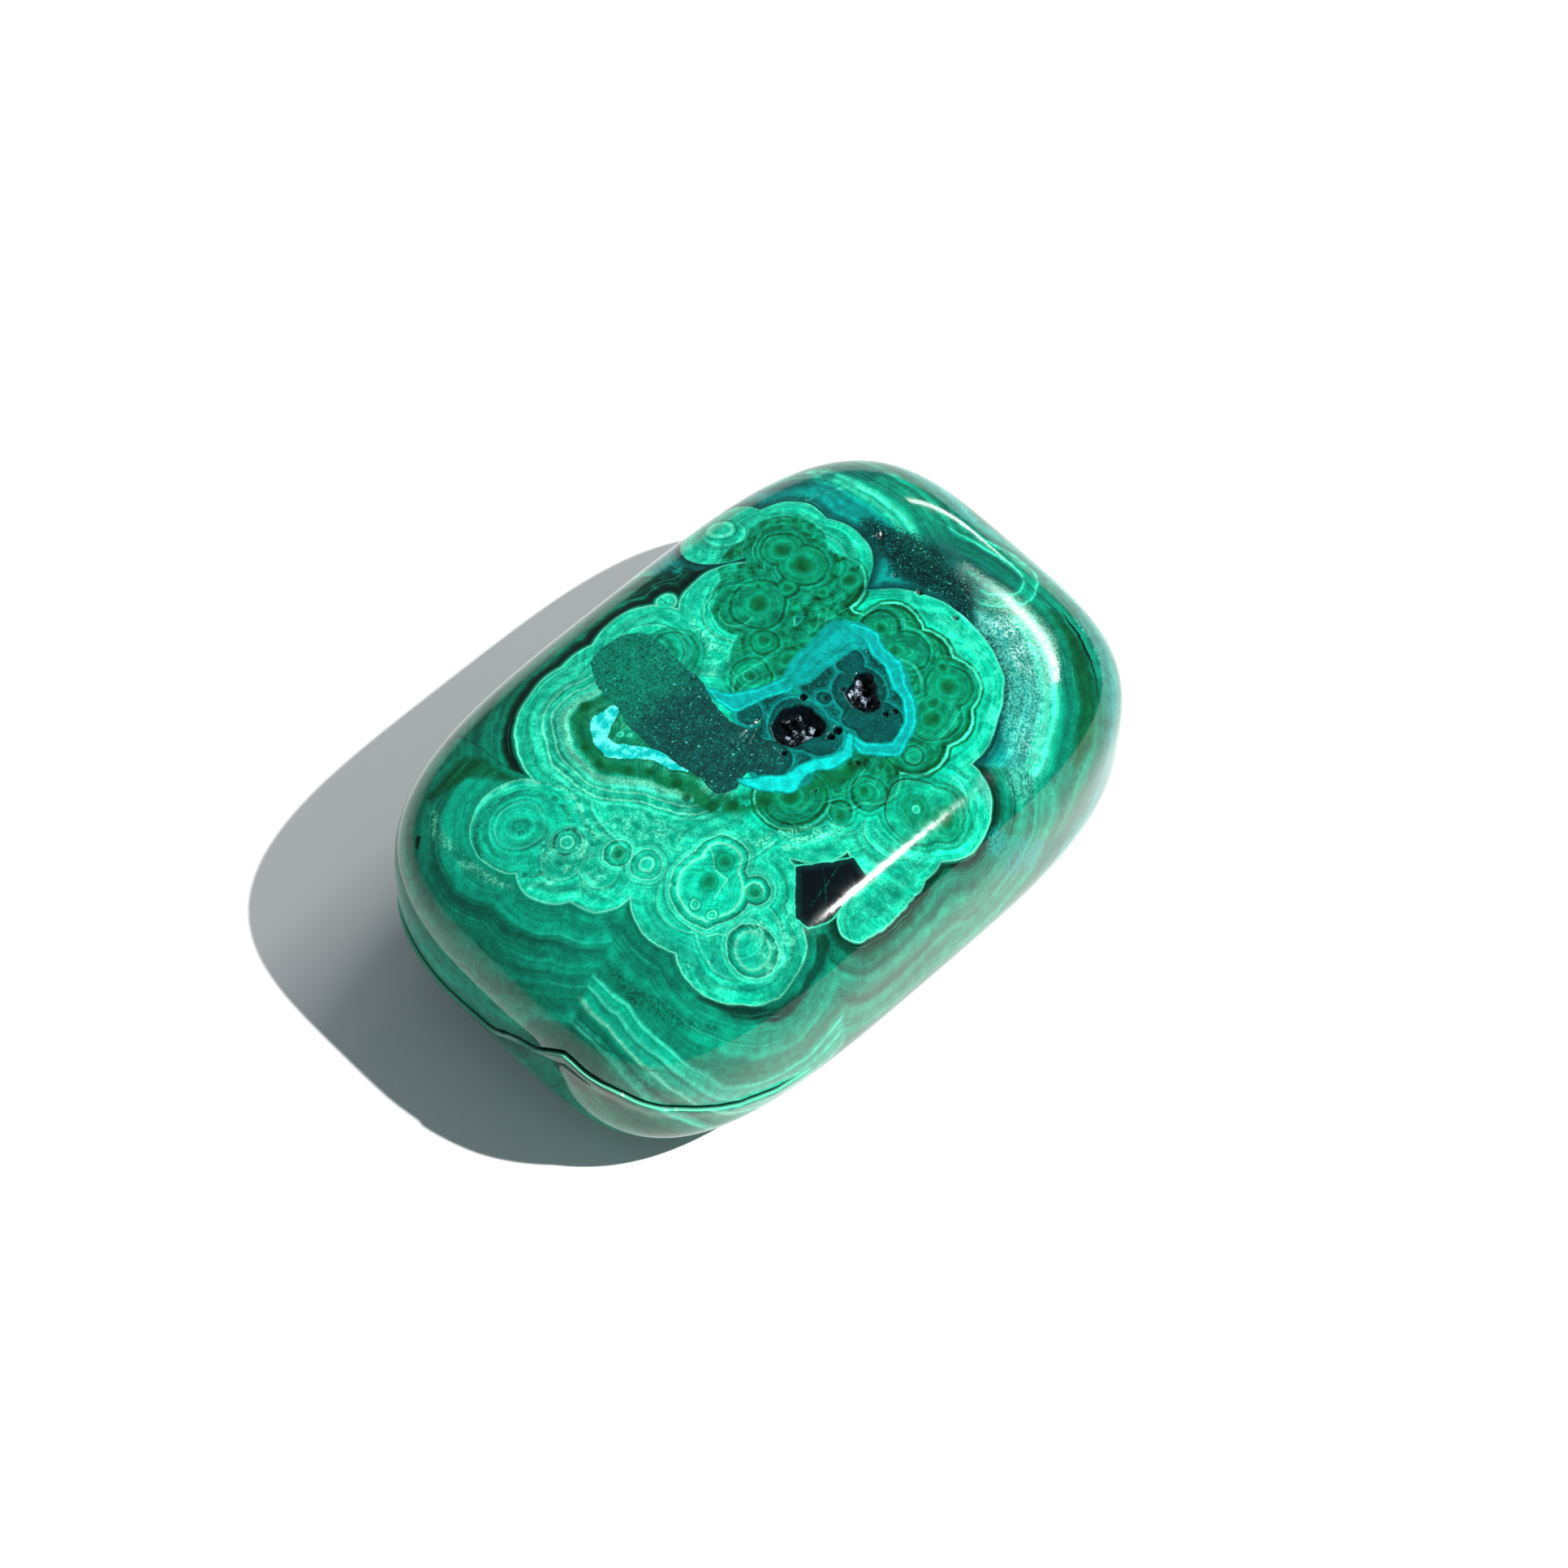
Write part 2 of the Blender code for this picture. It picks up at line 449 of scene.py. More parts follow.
def makeOrbGroup():
    # the nearest orb, measured from 0 at its middle to 1 at its edge
    inputs = (("Place", "Vector"), ("Nearest", "Float"), ("Middle", "Vector"), ("Size", "Float"))
    tree, given, result = newGroup("orb", inputs, (("Nearest", "Float"),))
    reach = maths(tree, "MULTIPLY", vectorMaths(tree, "DISTANCE", given["Place"], given["Middle"]),
                  given["Size"])
    feed(tree, result["Nearest"], maths(tree, "MINIMUM", given["Nearest"], reach))
    return tree


def makeStrokeGroup():
    # a drawn stroke with a half width that changes on the way: distance to its edge
    inputs = (("Place", "Vector"), ("Edge", "Float"), ("Start", "Vector"), ("Run", "Vector"),
              ("Per Length", "Float"), ("Width", "Float"), ("Growth", "Float"))
    tree, given, result = newGroup("stroke", inputs, (("Edge", "Float"),))
    toPlace = vectorMaths(tree, "SUBTRACT", given["Place"], given["Start"])
    part = vectorMaths(tree, "DOT_PRODUCT", toPlace, given["Run"])
    part = limit(tree, maths(tree, "MULTIPLY", part, given["Per Length"]))
    off = vectorMaths(tree, "DISTANCE", toPlace, vectorMaths(tree, "SCALE", given["Run"], scale=part))
    width = maths(tree, "MULTIPLY_ADD", part, given["Growth"], given["Width"])
    feed(tree, result["Edge"], maths(tree, "MINIMUM", given["Edge"], maths(tree, "SUBTRACT", off, width)))
    return tree


lobeGroup = makeLobeGroup()
orbGroup = makeOrbGroup()
strokeGroup = makeStrokeGroup()


def solid(spot):
    # a middle given on the plan lies at the top of the stone
    return spot if len(spot) == 3 else (spot[0], spot[1], 0.0)


def growthFront(tree, place, lobes):
    front = 99.0
    for lobe in lobes:
        lobeAt = solid(lobe[:-1])
        front = useGroup(tree, lobeGroup, Place=place, Front=front, Middle=lobeAt, Radius=lobe[-1])["Front"]
    return front


def nearestOrb(tree, place, orbs):
    nearest = 9.0
    for orb in orbs:
        orbAt = solid(orb[:-1])
        nearest = useGroup(tree, orbGroup, Place=place, Nearest=nearest, Middle=orbAt,
                           Size=1 / orb[-1])["Nearest"]
    return nearest


def strokeEdge(tree, place, points):
    edge = 99.0
    for (x, y, width), (nextX, nextY, nextWidth) in zip(points, points[1:]):
        run = (nextX - x, nextY - y, 0.0)
        settings = {"Place": place, "Edge": edge, "Start": (x, y, 0.0), "Run": run, "Width": width,
                    "Growth": nextWidth - width, "Per Length": 1 / (run[0] ** 2 + run[1] ** 2)}
        edge = useGroup(tree, strokeGroup, **settings)["Edge"]
    return edge


def along(tree, vector, axis):
    # the part of a vector that runs along one axis
    return vectorMaths(tree, "DOT_PRODUCT", vector, [float(axis == number) for number in range(3)])


def outlineEdge(tree, place, middle, radii):
    # how far outside a closed outline a place is, along the line from its middle
    offset = vectorMaths(tree, "SUBTRACT", place, (middle[0], middle[1], 0.0))
    angle = maths(tree, "ARCTAN2", along(tree, offset, 1), along(tree, offset, 0))
    curve = addNode(tree, "ShaderNodeFloatCurve")
    widest = max(radii) * 1.1
    line = curve.mapping.curves[0]
    count = len(radii)
    knots = [(step / count, radii[(step + count // 2) % count] / widest) for step in range(count + 1)]
    while len(line.points) < len(knots):
        line.points.new(0.5, 0.5)
    for point, knot in zip(line.points, knots):
        point.location = knot
    curve.mapping.update()
    feed(tree, curve.inputs["Value"], mapRange(tree, angle, -math.pi, math.pi, kind="LINEAR"))
    return maths(tree, "SUBTRACT", vectorMaths(tree, "LENGTH", offset),
                 maths(tree, "MULTIPLY", curve.outputs[0], widest))


def facetEdge(tree, place, corners):
    # distance outside a straight-sided patch, its corners given clockwise
    edge = -99.0
    for (x, y), (nextX, nextY) in zip(corners, corners[1:] + corners[:1]):
        length = math.hypot(nextX - x, nextY - y)
        out = ((y - nextY) / length, (nextX - x) / length, 0.0)
        offset = vectorMaths(tree, "DOT_PRODUCT", place, out)
        offset = maths(tree, "SUBTRACT", offset, x * out[0] + y * out[1])
        edge = maths(tree, "MAXIMUM", edge, offset)
    return edge


def tonedStops(stops):
    return [(where, tones[tone]) for where, tone in stops]


def tint(tree, under, value, low, high, tone, strength=1.0):
    # lays one colour over another where a value passes from low to high
    return mixColours(tree, mapRange(tree, value, low, high, 0.0, strength), under, tones[tone])


def paint(tree, under, edge, stops, soft=0.03, strength=1.0, texture=None):
    # colours a feature by the distance to its edge, as far out as its last stop
    painted = colourRamp(tree, edge, stops[0][0], stops[-1][0], tonedStops(stops))
    reach = stops[-1][0]
    amount = mapRange(tree, edge, reach + soft, reach - soft, 0.0, strength)
    if texture is not None:
        amount = maths(tree, "MULTIPLY", amount, texture)
    return mixColours(tree, amount, under, painted)


def brush(tree, under, place, points, tone, soft, strength, texture=None):
    # lays a soft stroke of one colour, broken up by a texture when there is one
    amount = mapRange(tree, strokeEdge(tree, place, points), soft, -soft, 0.0, strength)
    if texture is not None:
        amount = maths(tree, "MULTIPLY", amount, texture)
    return mixColours(tree, amount, under, tones[tone])


def grey(tree, value):
    # one number as a colour
    node = addNode(tree, "ShaderNodeCombineColor")
    for socket in node.inputs[:3]:
        feed(tree, socket, value)
    return node.outputs["Color"]


# hair-fine growth lines: pace, strength and how strong the pale ones are
growthLines = {
    "outside": (1.7, 0.8, 0.22),
    "orbs": (1.8, 0.85, 0.4),
    "inside": (1.6, 0.9, 0.4),
    "stretch": 0.13,
    "finePace": 3.3,
}


def addLines(tree, under, plain, distance, kind):
    # shades a colour with lines that follow a distance, a few of them pale
    pace, strength, paleStrength = growthLines[kind]
    stretch = growthLines["stretch"]
    finePace = pace * growthLines["finePace"]
    travel = maths(tree, "MULTIPLY", distance, pace / stretch)
    coarse = fractalNoise(tree, plain, stretch, 2.0, 0.5, w=travel)
    travel = maths(tree, "MULTIPLY", distance, finePace / stretch)
    fine = fractalNoise(tree, plain, stretch, 3.0, 0.6, w=travel)
    shade = mapRange(tree, coarse, 0.32, 0.68, 0.66, 1.22)
    shade = maths(tree, "MULTIPLY", shade, mapRange(tree, fine, 0.32, 0.68, 0.80, 1.14))
    shaded = mixColours(tree, strength, under, grey(tree, shade), "MULTIPLY")
    return mixColours(tree, mapRange(tree, fine, 0.60, 0.68, 0.0, paleStrength), shaded, tones["paleMint"])


tones = {
    "paleLine": srgb(118, 236, 196),
    "paleMint": srgb(62, 222, 184),
    "mint": srgb(0, 204, 163),
    "mintDeep": srgb(0, 183, 147),
    "emerald": srgb(0, 160, 126),
    "mid": srgb(0, 134, 104),
    "leaf": srgb(0, 134, 90),
    "moss": srgb(0, 100, 56),
    "mossDark": srgb(0, 74, 34),
    "deep": srgb(0, 104, 82),
    "darkGreen": srgb(0, 60, 40),
    "ink": srgb(0, 30, 22),
    "black": srgb(0, 11, 16),
    "cyan": srgb(4, 206, 198),
    "cyanPale": srgb(96, 232, 222),
    "turquoise": srgb(0, 162, 156),
    "teal": srgb(0, 142, 132),
    "tealDark": srgb(0, 82, 78),
    "tealInk": srgb(0, 42, 42),
    "patch": srgb(0, 118, 92),
    "patchDark": srgb(0, 70, 64),
    "blueInk": srgb(0, 48, 62),
    "greyTeal": srgb(84, 184, 166),
    "grey": srgb(176, 214, 206),
    "white": srgb(168, 184, 204),
}

patternSpace = {
    "topHeight": 20.4,
    "depthScale": 0.6,
    "warpScale": 0.30,
    "warpAmount": 0.75,
    "raggedScale": 1.9,
    "raggedAmount": 0.24,
    "frontRaggedAmount": 0.09,
    "sideFade": (-5.0, -2.6),      # the heights over which marks on the top fade out
}

# the lobes that the mineral grew in, at the top of the stone: x, y, radius (or x, y, depth, radius)
fans = {
    "west": {
        "lobes": ((-17.6, 5.6, 3.5), (-17.4, 1.5, 3.2), (-16.2, -1.0, 3.0)),
        "bands": ((0.0, "paleLine"), (0.07, "mintDeep"), (0.18, "mid"), (0.5, "emerald"), (1.3, "emerald"),
                  (2.0, "mintDeep"), (2.4, "mid"), (2.75, "deep"), (3.3, "mid"), (3.9, "emerald"),
                  (4.4, "mid"), (5.1, "emerald"), (5.9, "mid"), (6.6, "emerald"), (7.2, "mintDeep"),
                  (7.6, "mid"), (8.4, "deep"), (9.5, "emerald"), (11.0, "deep"), (14.0, "mid")),
    },
    "southWest": {
        "lobes": ((-13.0, -7.0, 4.2), (-12.6, -11.2, 4.6), (-9.5, -9.4, 3.2)),
        "bands": ((0.0, "paleLine"), (0.06, "mid"), (0.18, "deep"), (0.7, "mid"), (1.2, "emerald"),
                  (2.1, "mid"), (2.7, "emerald"), (3.1, "mid"), (3.8, "mid"), (4.2, "emerald"),
                  (4.4, "paleMint"), (4.55, "emerald"), (4.9, "mintDeep"), (5.15, "paleMint"),
                  (5.3, "emerald"), (5.8, "mintDeep"), (6.0, "paleLine"), (6.15, "emerald"), (6.5, "mid"),
                  (6.7, "deep"), (6.85, "emerald"), (7.2, "paleMint"), (7.4, "mid"), (8.3, "deep"),
                  (9.6, "mid"), (11.0, "emerald"), (12.0, "deep")),
    },
    "north": {
        "lobes": ((-8.2, 7.0, 6.4), (-5.6, 9.0, 4.45), (-2.1, 9.3, 4.35), (2.0, 11.9, 0.8),
                  (4.8, 7.6, 4.15)),
        "bands": ((0.0, "paleLine"), (0.07, "emerald"), (0.18, "deep"), (0.32, "ink"), (0.6, "ink"),
                  (0.8, "darkGreen"), (1.1, "mid"), (1.5, "deep"), (2.1, "mid"), (2.8, "deep"),
                  (3.6, "mid"), (5.0, "deep"), (6.5, "emerald"), (7.2, "mid"), (9.0, "deep"),
                  (12.0, "mid")),
    },
    "south": {
        "lobes": ((4.6, -12.8, 4.0), (1.0, -12.4, 3.8), (-5.5, -15.15, -1.5, 1.25),
                  (-4.8, -15.2, -1.5, 1.3), (-4.1, -15.25, -1.5, 1.35), (-3.4, -15.25, -1.5, 1.35),
                  (-2.7, -15.2, -1.5, 1.3), (-2.0, -15.15, -1.5, 1.3), (-1.2, -15.0, -1.4, 1.3),
                  (-0.4, -14.9, -1.4, 1.3), (-2.4, -7.2, 4.35)),
        "bands": ((0.0, "paleLine"), (0.07, "mid"), (0.16, "ink"), (0.5, "darkGreen"), (0.8, "deep"),
                  (1.2, "mid"), (1.7, "deep"), (2.2, "emerald"), (2.8, "mid"), (3.3, "deep"),
                  (3.8, "emerald"), (4.5, "mid"), (5.2, "emerald"), (6.5, "deep"), (9.0, "mid")),
    },
    "east": {
        "lobes": ((9.3, 14.0, 3.4), (12.0, 10.2, 3.3), (11.2, 7.0, 4.5), (8.2, -4.2, 8.05)),
        "bands": ((0.0, "mintDeep"), (0.12, "blueInk"), (0.3, "tealDark"), (0.9, "teal"), (2.4, "teal"),
                  (2.8, "mintDeep"), (3.05, "paleMint"), (3.3, "mintDeep"), (3.7, "paleMint"),
                  (4.1, "emerald"), (4.7, "deep"), (5.6, "mid"), (6.2, "deep"), (6.6, "emerald"),
                  (7.2, "deep"), (8.6, "teal"), (10.0, "deep"), (13.0, "mid")),
    },
    "core": {
        "lobes": ((-6.0, 0.0, 9.5), (1.0, -3.0, 9.0)),
        "bands": ((0.0, "mint"), (1.0, "mid")),
    },
    "under": {
        "lobes": ((-11.0, 4.0, -12.8, 3.4), (-8.0, 0.5, -12.6, 2.6), (8.5, -5.0, -12.6, 3.2),
                  (14.0, 5.0, -12.8, 2.4), (1.0, 9.0, -12.6, 1.6)),
        "bands": ((0.0, "paleLine"), (0.08, "mid"), (0.2, "darkGreen"), (0.6, "deep"), (1.2, "emerald"),
                  (1.9, "mid"), (2.4, "darkGreen"), (2.9, "mid"), (3.8, "emerald"), (4.6, "mintDeep"),
                  (5.2, "deep"), (6.0, "mid"), (7.5, "emerald"), (9.0, "deep")),
    },
}


def outsideBands(tree, place, drift):
    # every fan paints its own bands where its lobes are the nearest
    front, colour = None, None
    for fan in fans.values():
        own = growthFront(tree, place, fan["lobes"])
        stops = tonedStops(fan["bands"])
        painted = colourRamp(tree, maths(tree, "ADD", own, drift), 0.0, stops[-1][0], stops)
        if front is None:
            front, colour = own, painted
        else:
            share = mapRange(tree, maths(tree, "SUBTRACT", own, front), 0.3, -0.3)
            colour = mixColours(tree, share, colour, painted)
            front = maths(tree, "MINIMUM", front, own)
    return front, colour


# strokes over the bands: points of x, y, half width, then tone, softness, strength, texture
outsideStrokes = (
    (((-20.9, 2.5, 0.1), (-21.6, 4.5, 0.25), (-21.9, 7.0, 0.3), (-21.6, 9.5, 0.35), (-20.6, 11.2, 0.2)),
     "paleLine", 0.2, 0.8, "speckle"),
    (((-22.9, 10.45, 0.1), (-22.5, 10.95, 0.2)), "ink", 0.08, 1.0, None),
    (((-19.8, 12.3, 0.5), (-17.2, 12.2, 0.95), (-16.4, 11.0, 0.8), (-15.8, 9.3, 0.4), (-15.2, 7.8, 0.05)),
     "mossDark", 0.35, 0.85, None),
    (((-20.4, 14.6, 0.4), (-18.0, 14.5, 0.5), (-15.8, 14.4, 0.5)), "emerald", 0.3, 0.7, None),
    (((-15.3, 15.0, 0.05), (-15.2, 11.0, 0.05), (-15.0, 7.5, 0.02)), "darkGreen", 0.08, 0.8, None),
    (((0.6, 14.2, 0.25), (2.2, 13.9, 0.9), (4.2, 13.5, 1.1), (5.3, 12.6, 0.3)), "ink", 0.4, 0.9, "blotch"),
    (((-21.6, -4.4, 0.1), (-20.4, -2.9, 0.3), (-19.3, -1.6, 0.15)), "deep", 0.4, 0.8, "grit"),
    (((-18.1, -4.0, 0.4), (-18.4, -8.0, 0.7), (-18.0, -10.8, 0.4)), "deep", 0.5, 0.7, None),
    (((-20.2, -6.5, 0.4), (-20.4, -9.5, 0.7), (-19.4, -12.4, 0.5), (-17.8, -14.2, 0.3)), "darkGreen", 0.4,
     0.75, "grit"),
    (((-24.0, -7.0, 0.03), (-23.8, -10.0, 0.08), (-22.6, -12.8, 0.06), (-20.8, -14.9, 0.03)), "deep", 0.08,
     0.8, None),
    (((-24.4, -10.4, 0.1), (-23.2, -12.9, 0.3), (-21.2, -15.1, 0.3), (-18.8, -16.2, 0.1)), "paleMint", 0.3,
     0.6, "speckle"),
    (((-17.3, -12.2, 0.1), (-16.2, -14.4, 0.35), (-14.2, -15.8, 0.4), (-11.6, -16.2, 0.25),
      (-9.4, -15.6, 0.35), (-8.2, -14.8, 0.5)), "ink", 0.2, 0.85, None),
    (((-8.3, -14.6, 0.5), (-7.6, -15.8, 0.5), (-6.4, -16.8, 0.3), (-4.0, -17.2, 0.1)), "darkGreen", 0.3,
     0.7, "grit"),
    (((-2.4, -12.3, 0.3), (-1.9, -13.2, 0.5)), "leaf", 0.12, 0.9, None),
    (((-1.2, -17.0, 0.1), (2.6, -17.1, 0.15), (6.2, -17.0, 0.1), (8.6, -16.2, 0.25), (9.4, -14.8, 0.1)),
     "darkGreen", 0.25, 0.6, "grit"),
    (((14.9, 14.2, 0.6), (17.8, 13.4, 1.5), (21.0, 10.2, 0.9)), "tealDark", 0.9, 0.75, "blotch"),
    (((15.0, 11.6, 0.02), (16.8, 11.0, 0.06), (18.6, 10.3, 0.1), (19.3, 9.0, 0.12), (19.2, 7.8, 0.03)),
     "paleLine", 0.12, 0.8, "speckle"),
    (((18.3, -1.8, 0.9), (18.1, -4.6, 1.8), (17.7, -7.4, 1.9), (15.8, -10.6, 1.6), (12.6, -13.5, 1.4),
      (10.4, -15.2, 0.9)), "greyTeal", 0.6, 0.75, "grit"),
    (((18.6, -1.0, 0.5), (18.4, -4.4, 1.1), (17.8, -6.8, 0.8), (16.6, -9.4, 0.4)), "grey", 0.7, 0.8,
     "speckle"),
    (((21.7, -6.9, 0.3), (21.0, -10.2, 0.65), (19.3, -13.1, 0.75), (17.0, -15.0, 0.6), (15.4, -15.9, 0.3)),
     "mossDark", 0.35, 0.85, None),
    (((22.4, -7.0, 0.02), (22.1, -8.6, 0.14), (21.7, -10.0, 0.12), (20.9, -11.9, 0.08),
      (19.8, -13.6, 0.03)), "ink", 0.07, 1.0, None),
    (((23.0, -7.6, 0.04), (22.7, -9.6, 0.12), (21.9, -11.6, 0.1), (20.9, -13.2, 0.04)), "paleMint", 0.12,
     0.8, "speckle"),
    (((24.2, -5.0, 0.2), (24.0, -9.0, 0.3), (22.6, -12.4, 0.2)), "deep", 0.3, 0.6, "grit"),
)

# nested loops near the +X end
eastEye = {
    "stroke": ((19.3, 6.0, 1.2), (19.6, 3.0, 1.8), (20.4, -0.8, 1.85), (20.9, -2.3, 1.9)),
    "bands": ((-1.6, "tealDark"), (-0.8, "deep"), (-0.4, "tealDark"), (-0.12, "mid"), (-0.04, "paleMint"),
              (0.04, "paleMint"), (0.12, "emerald"), (0.4, "mid"), (0.9, "emerald"), (0.98, "paleMint"),
              (1.06, "paleMint"), (1.14, "mid"), (1.6, "deep"), (1.9, "mid")),
}

speckledPatch = {
    "stroke": ((16.9, 6.6, 0.9), (17.0, 3.8, 1.8), (17.3, 1.4, 2.2), (17.6, -0.9, 1.8), (17.0, -2.8, 1.1),
               (16.3, -4.2, 0.4)),
    "worn": ((19.2, -0.6, 0.9), (19.0, -4.4, 2.1), (18.6, -7.4, 2.1), (16.6, -10.8, 1.6),
             (13.2, -13.6, 1.3)),
    "lighter": ((19.2, 3.6, 0.4), (19.6, 1.0, 0.9), (19.6, -1.4, 0.7), (18.6, -3.0, 0.5)),
}

# the pale green inside the front, by distance from it
matrixBands = ((-3.0, "mintDeep"), (-2.2, "mint"), (-1.8, "mint"), (-1.65, "paleMint"), (-1.55, "emerald"),
               (-1.4, "mint"), (-0.9, "mintDeep"), (-0.7, "mint"), (-0.08, "mint"), (0.0, "paleLine"))

# the mossy heart of the stone, with a pale and a dark line round it
heart = {
    "lobes": ((11.0, 9.4, 3.2), (8.6, 9.6, 2.9), (6.0, 7.4, 3.1), (11.0, 5.0, 2.9), (7.0, 3.6, 4.2),
              (3.6, 3.6, 2.6), (11.6, -1.0, 2.35), (11.3, -4.0, 2.6), (10.9, -6.6, 2.75), (9.2, -8.2, 2.5),
              (6.3, -8.6, 2.5), (2.4, -8.4, 2.3), (0.3, -7.6, 1.9), (-2.8, -6.0, 2.7), (5.0, -2.0, 7.0)),
    "bands": ((-1.1, "leaf"), (-0.75, "moss"), (-0.6, "leaf"), (-0.42, "mossDark"), (-0.22, "mossDark"),
              (-0.12, "paleMint"), (-0.04, "paleMint"), (0.05, "moss"), (0.16, "moss"), (0.26, "mint"),
              (0.6, "mintDeep"), (0.8, "mint"), (1.0, "mint")),
}

insideStrokes = (
    (((-16.0, -4.0, 0.3), (-15.9, -8.0, 0.7), (-15.0, -11.4, 0.8), (-13.0, -12.8, 1.0)), "teal", 0.5, 0.65,
     "speckle"),
    (((-18.9, 1.4, 0.3), (-17.2, 3.0, 0.5), (-15.6, 1.4, 0.8), (-13.2, 0.9, 0.6), (-11.6, -0.8, 0.9),
      (-11.0, -3.2, 0.4)), "paleLine", 0.5, 0.5, "speckle"),
    (((-16.8, -1.2, 0.8), (-17.8, 0.6, 0.4)), "paleLine", 0.6, 0.4, "speckle"),
    (((-7.2, -6.6, 0.3), (-5.6, -8.1, 0.7), (-3.4, -9.3, 0.5), (-1.8, -9.8, 0.1)), "paleLine", 0.4, 0.75,
     "speckle"),
    (((-10.9, -10.8, 0.4), (-12.0, -13.6, 0.9), (-9.8, -13.2, 0.6), (-8.6, -11.4, 0.4)), "paleLine", 0.5,
     0.45, "speckle"),
    (((2.0, 9.2, 0.2), (1.8, 7.2, 0.45), (1.1, 5.7, 0.3), (-0.1, 5.0, 0.1)), "paleLine", 0.25, 0.85,
     "speckle"),
    (((14.4, 0.0, 0.3), (14.5, -5.0, 0.6), (13.8, -8.6, 0.7), (11.6, -11.2, 0.6), (9.2, -12.0, 0.3)),
     "paleMint", 0.5, 0.35, "mottle"),
    (((7.6, -15.4, 0.3), (8.2, -13.4, 0.25)), "greyTeal", 0.25, 0.6, None),
    (((1.9, 12.6, 0.02), (1.8, 11.7, 0.06), (2.2, 10.9, 0.02)), "deep", 0.06, 0.8, None),
    (((3.0, 9.0, 0.03), (3.8, 9.7, 0.06), (4.8, 10.1, 0.02)), "moss", 0.06, 0.8, None),
    (((13.2, 9.0, 0.2), (13.8, 6.4, 0.4), (13.3, 3.4, 0.2)), "emerald", 0.4, 0.6, "mottle"),
    (((-14.6, -8.2, 0.03), (-14.2, -9.6, 0.03), (-13.2, -10.6, 0.03), (-11.8, -10.7, 0.03)), "paleLine",
     0.06, 0.8, None),
)

# mossy scallops round the blue ribbon
belt = {
    "stroke": ((-7.0, 8.8, 0.15), (-8.2, 9.4, 0.4), (-9.3, 8.9, 0.45), (-10.0, 7.7, 0.4), (-10.4, 6.0, 0.4),
               (-10.3, 4.6, 0.5), (-9.4, 3.1, 0.45), (-8.3, 1.4, 0.45), (-7.5, -0.5, 0.65),
               (-7.3, -2.4, 0.8), (-6.3, -3.7, 0.75), (-4.7, -4.8, 0.8), (-3.0, -5.9, 0.7),
               (-1.3, -6.6, 0.6), (0.8, -7.1, 0.55), (2.4, -7.3, 0.4)),
    "blots": ((-8.2, 9.35, 0.55), (-10.4, 6.9, 0.45), (-10.5, 5.2, 0.45), (-9.6, 3.3, 0.4),
              (-8.6, 2.3, 0.35), (-7.7, 0.2, 0.5), (-8.1, -1.0, 0.4), (-7.3, -2.8, 0.6), (-6.2, -3.8, 0.5),
              (-4.4, -5.0, 0.5), (-3.0, -6.1, 0.7), (-1.3, -6.65, 0.4), (1.9, -7.2, 0.45),
              (3.6, -8.4, 0.35)),
}

# rings round the blue hook, by distance from it
hookRings = ((0.0, "moss"), (0.35, "leaf"), (0.9, "moss"), (1.15, "leaf"), (1.35, "mintDeep"),
             (1.6, "paleLine"), (2.1, "paleMint"), (2.4, "mintDeep"), (2.55, "paleLine"),
             (2.65, "mintDeep"), (2.9, "emerald"), (3.02, "mid"), (3.1, "mintDeep"), (3.2, "paleLine"),
             (3.32, "emerald"), (3.5, "mint"), (3.62, "paleMint"), (3.75, "mint"))

# orbs with a dark rim and a pale outline: x, y, radius
mossOrbs = {
    "orbs": ((6.25, 6.95, 2.1), (10.85, 7.1, 1.8), (10.8, 9.4, 1.6), (4.3, 4.3, 1.1), (8.65, 6.5, 0.8),
             (11.2, -0.3, 1.5), (11.0, -2.9, 1.7), (11.3, -6.9, 1.75), (9.0, -8.0, 1.9), (5.7, -9.3, 0.75),
             (3.05, -12.3, 2.25), (4.25, -13.45, 1.8), (1.3, -9.3, 1.3), (-1.1, -9.0, 0.8),
             (-2.7, -6.2, 2.2), (-0.9, 8.0, 1.8), (-0.9, 8.3, 1.9), (1.8, 3.0, 1.5)),
    "bands": ((-2.2, "moss"), (-1.75, "leaf"), (-1.5, "moss"), (-1.3, "leaf"), (-1.0, "emerald"),
              (-0.8, "leaf"), (-0.62, "emerald"), (-0.45, "leaf"), (-0.3, "emerald"), (-0.2, "leaf"),
              (-0.1, "mossDark"), (0.02, "moss"), (0.08, "emerald"), (0.14, "mintDeep"), (0.2, "emerald"),
              (0.32, "leaf"), (0.46, "leaf")),
}

# cell-like orbs with pale walls
paleOrbs = {
    "orbs": ((-11.6, -7.2, 2.7), (-9.7, -6.3, 1.8), (-13.6, -2.9, 1.0), (-14.4, -0.8, 0.9),
             (-16.2, 2.2, 0.9), (-9.5, -9.5, 1.0), (-13.2, -8.7, 0.7), (-12.6, -12.4, 1.6)),
    "bands": ((-2.6, "emerald"), (-2.2, "mintDeep"), (-1.5, "mint"), (-0.9, "mintDeep"), (-0.6, "mint"),
              (-0.38, "paleLine"), (-0.28, "mint"), (-0.12, "emerald"), (0.0, "deep"), (0.1, "mid"),
              (0.16, "paleLine"), (0.24, "mint"), (0.42, "paleMint"), (0.55, "mintDeep"), (0.62, "emerald"),
              (0.7, "mint")),
    "walls": ((-9.5, -4.8, 0.02), (-10.6, -6.3, 0.03), (-10.3, -7.6, 0.03), (-11.9, -7.9, 0.02)),
}

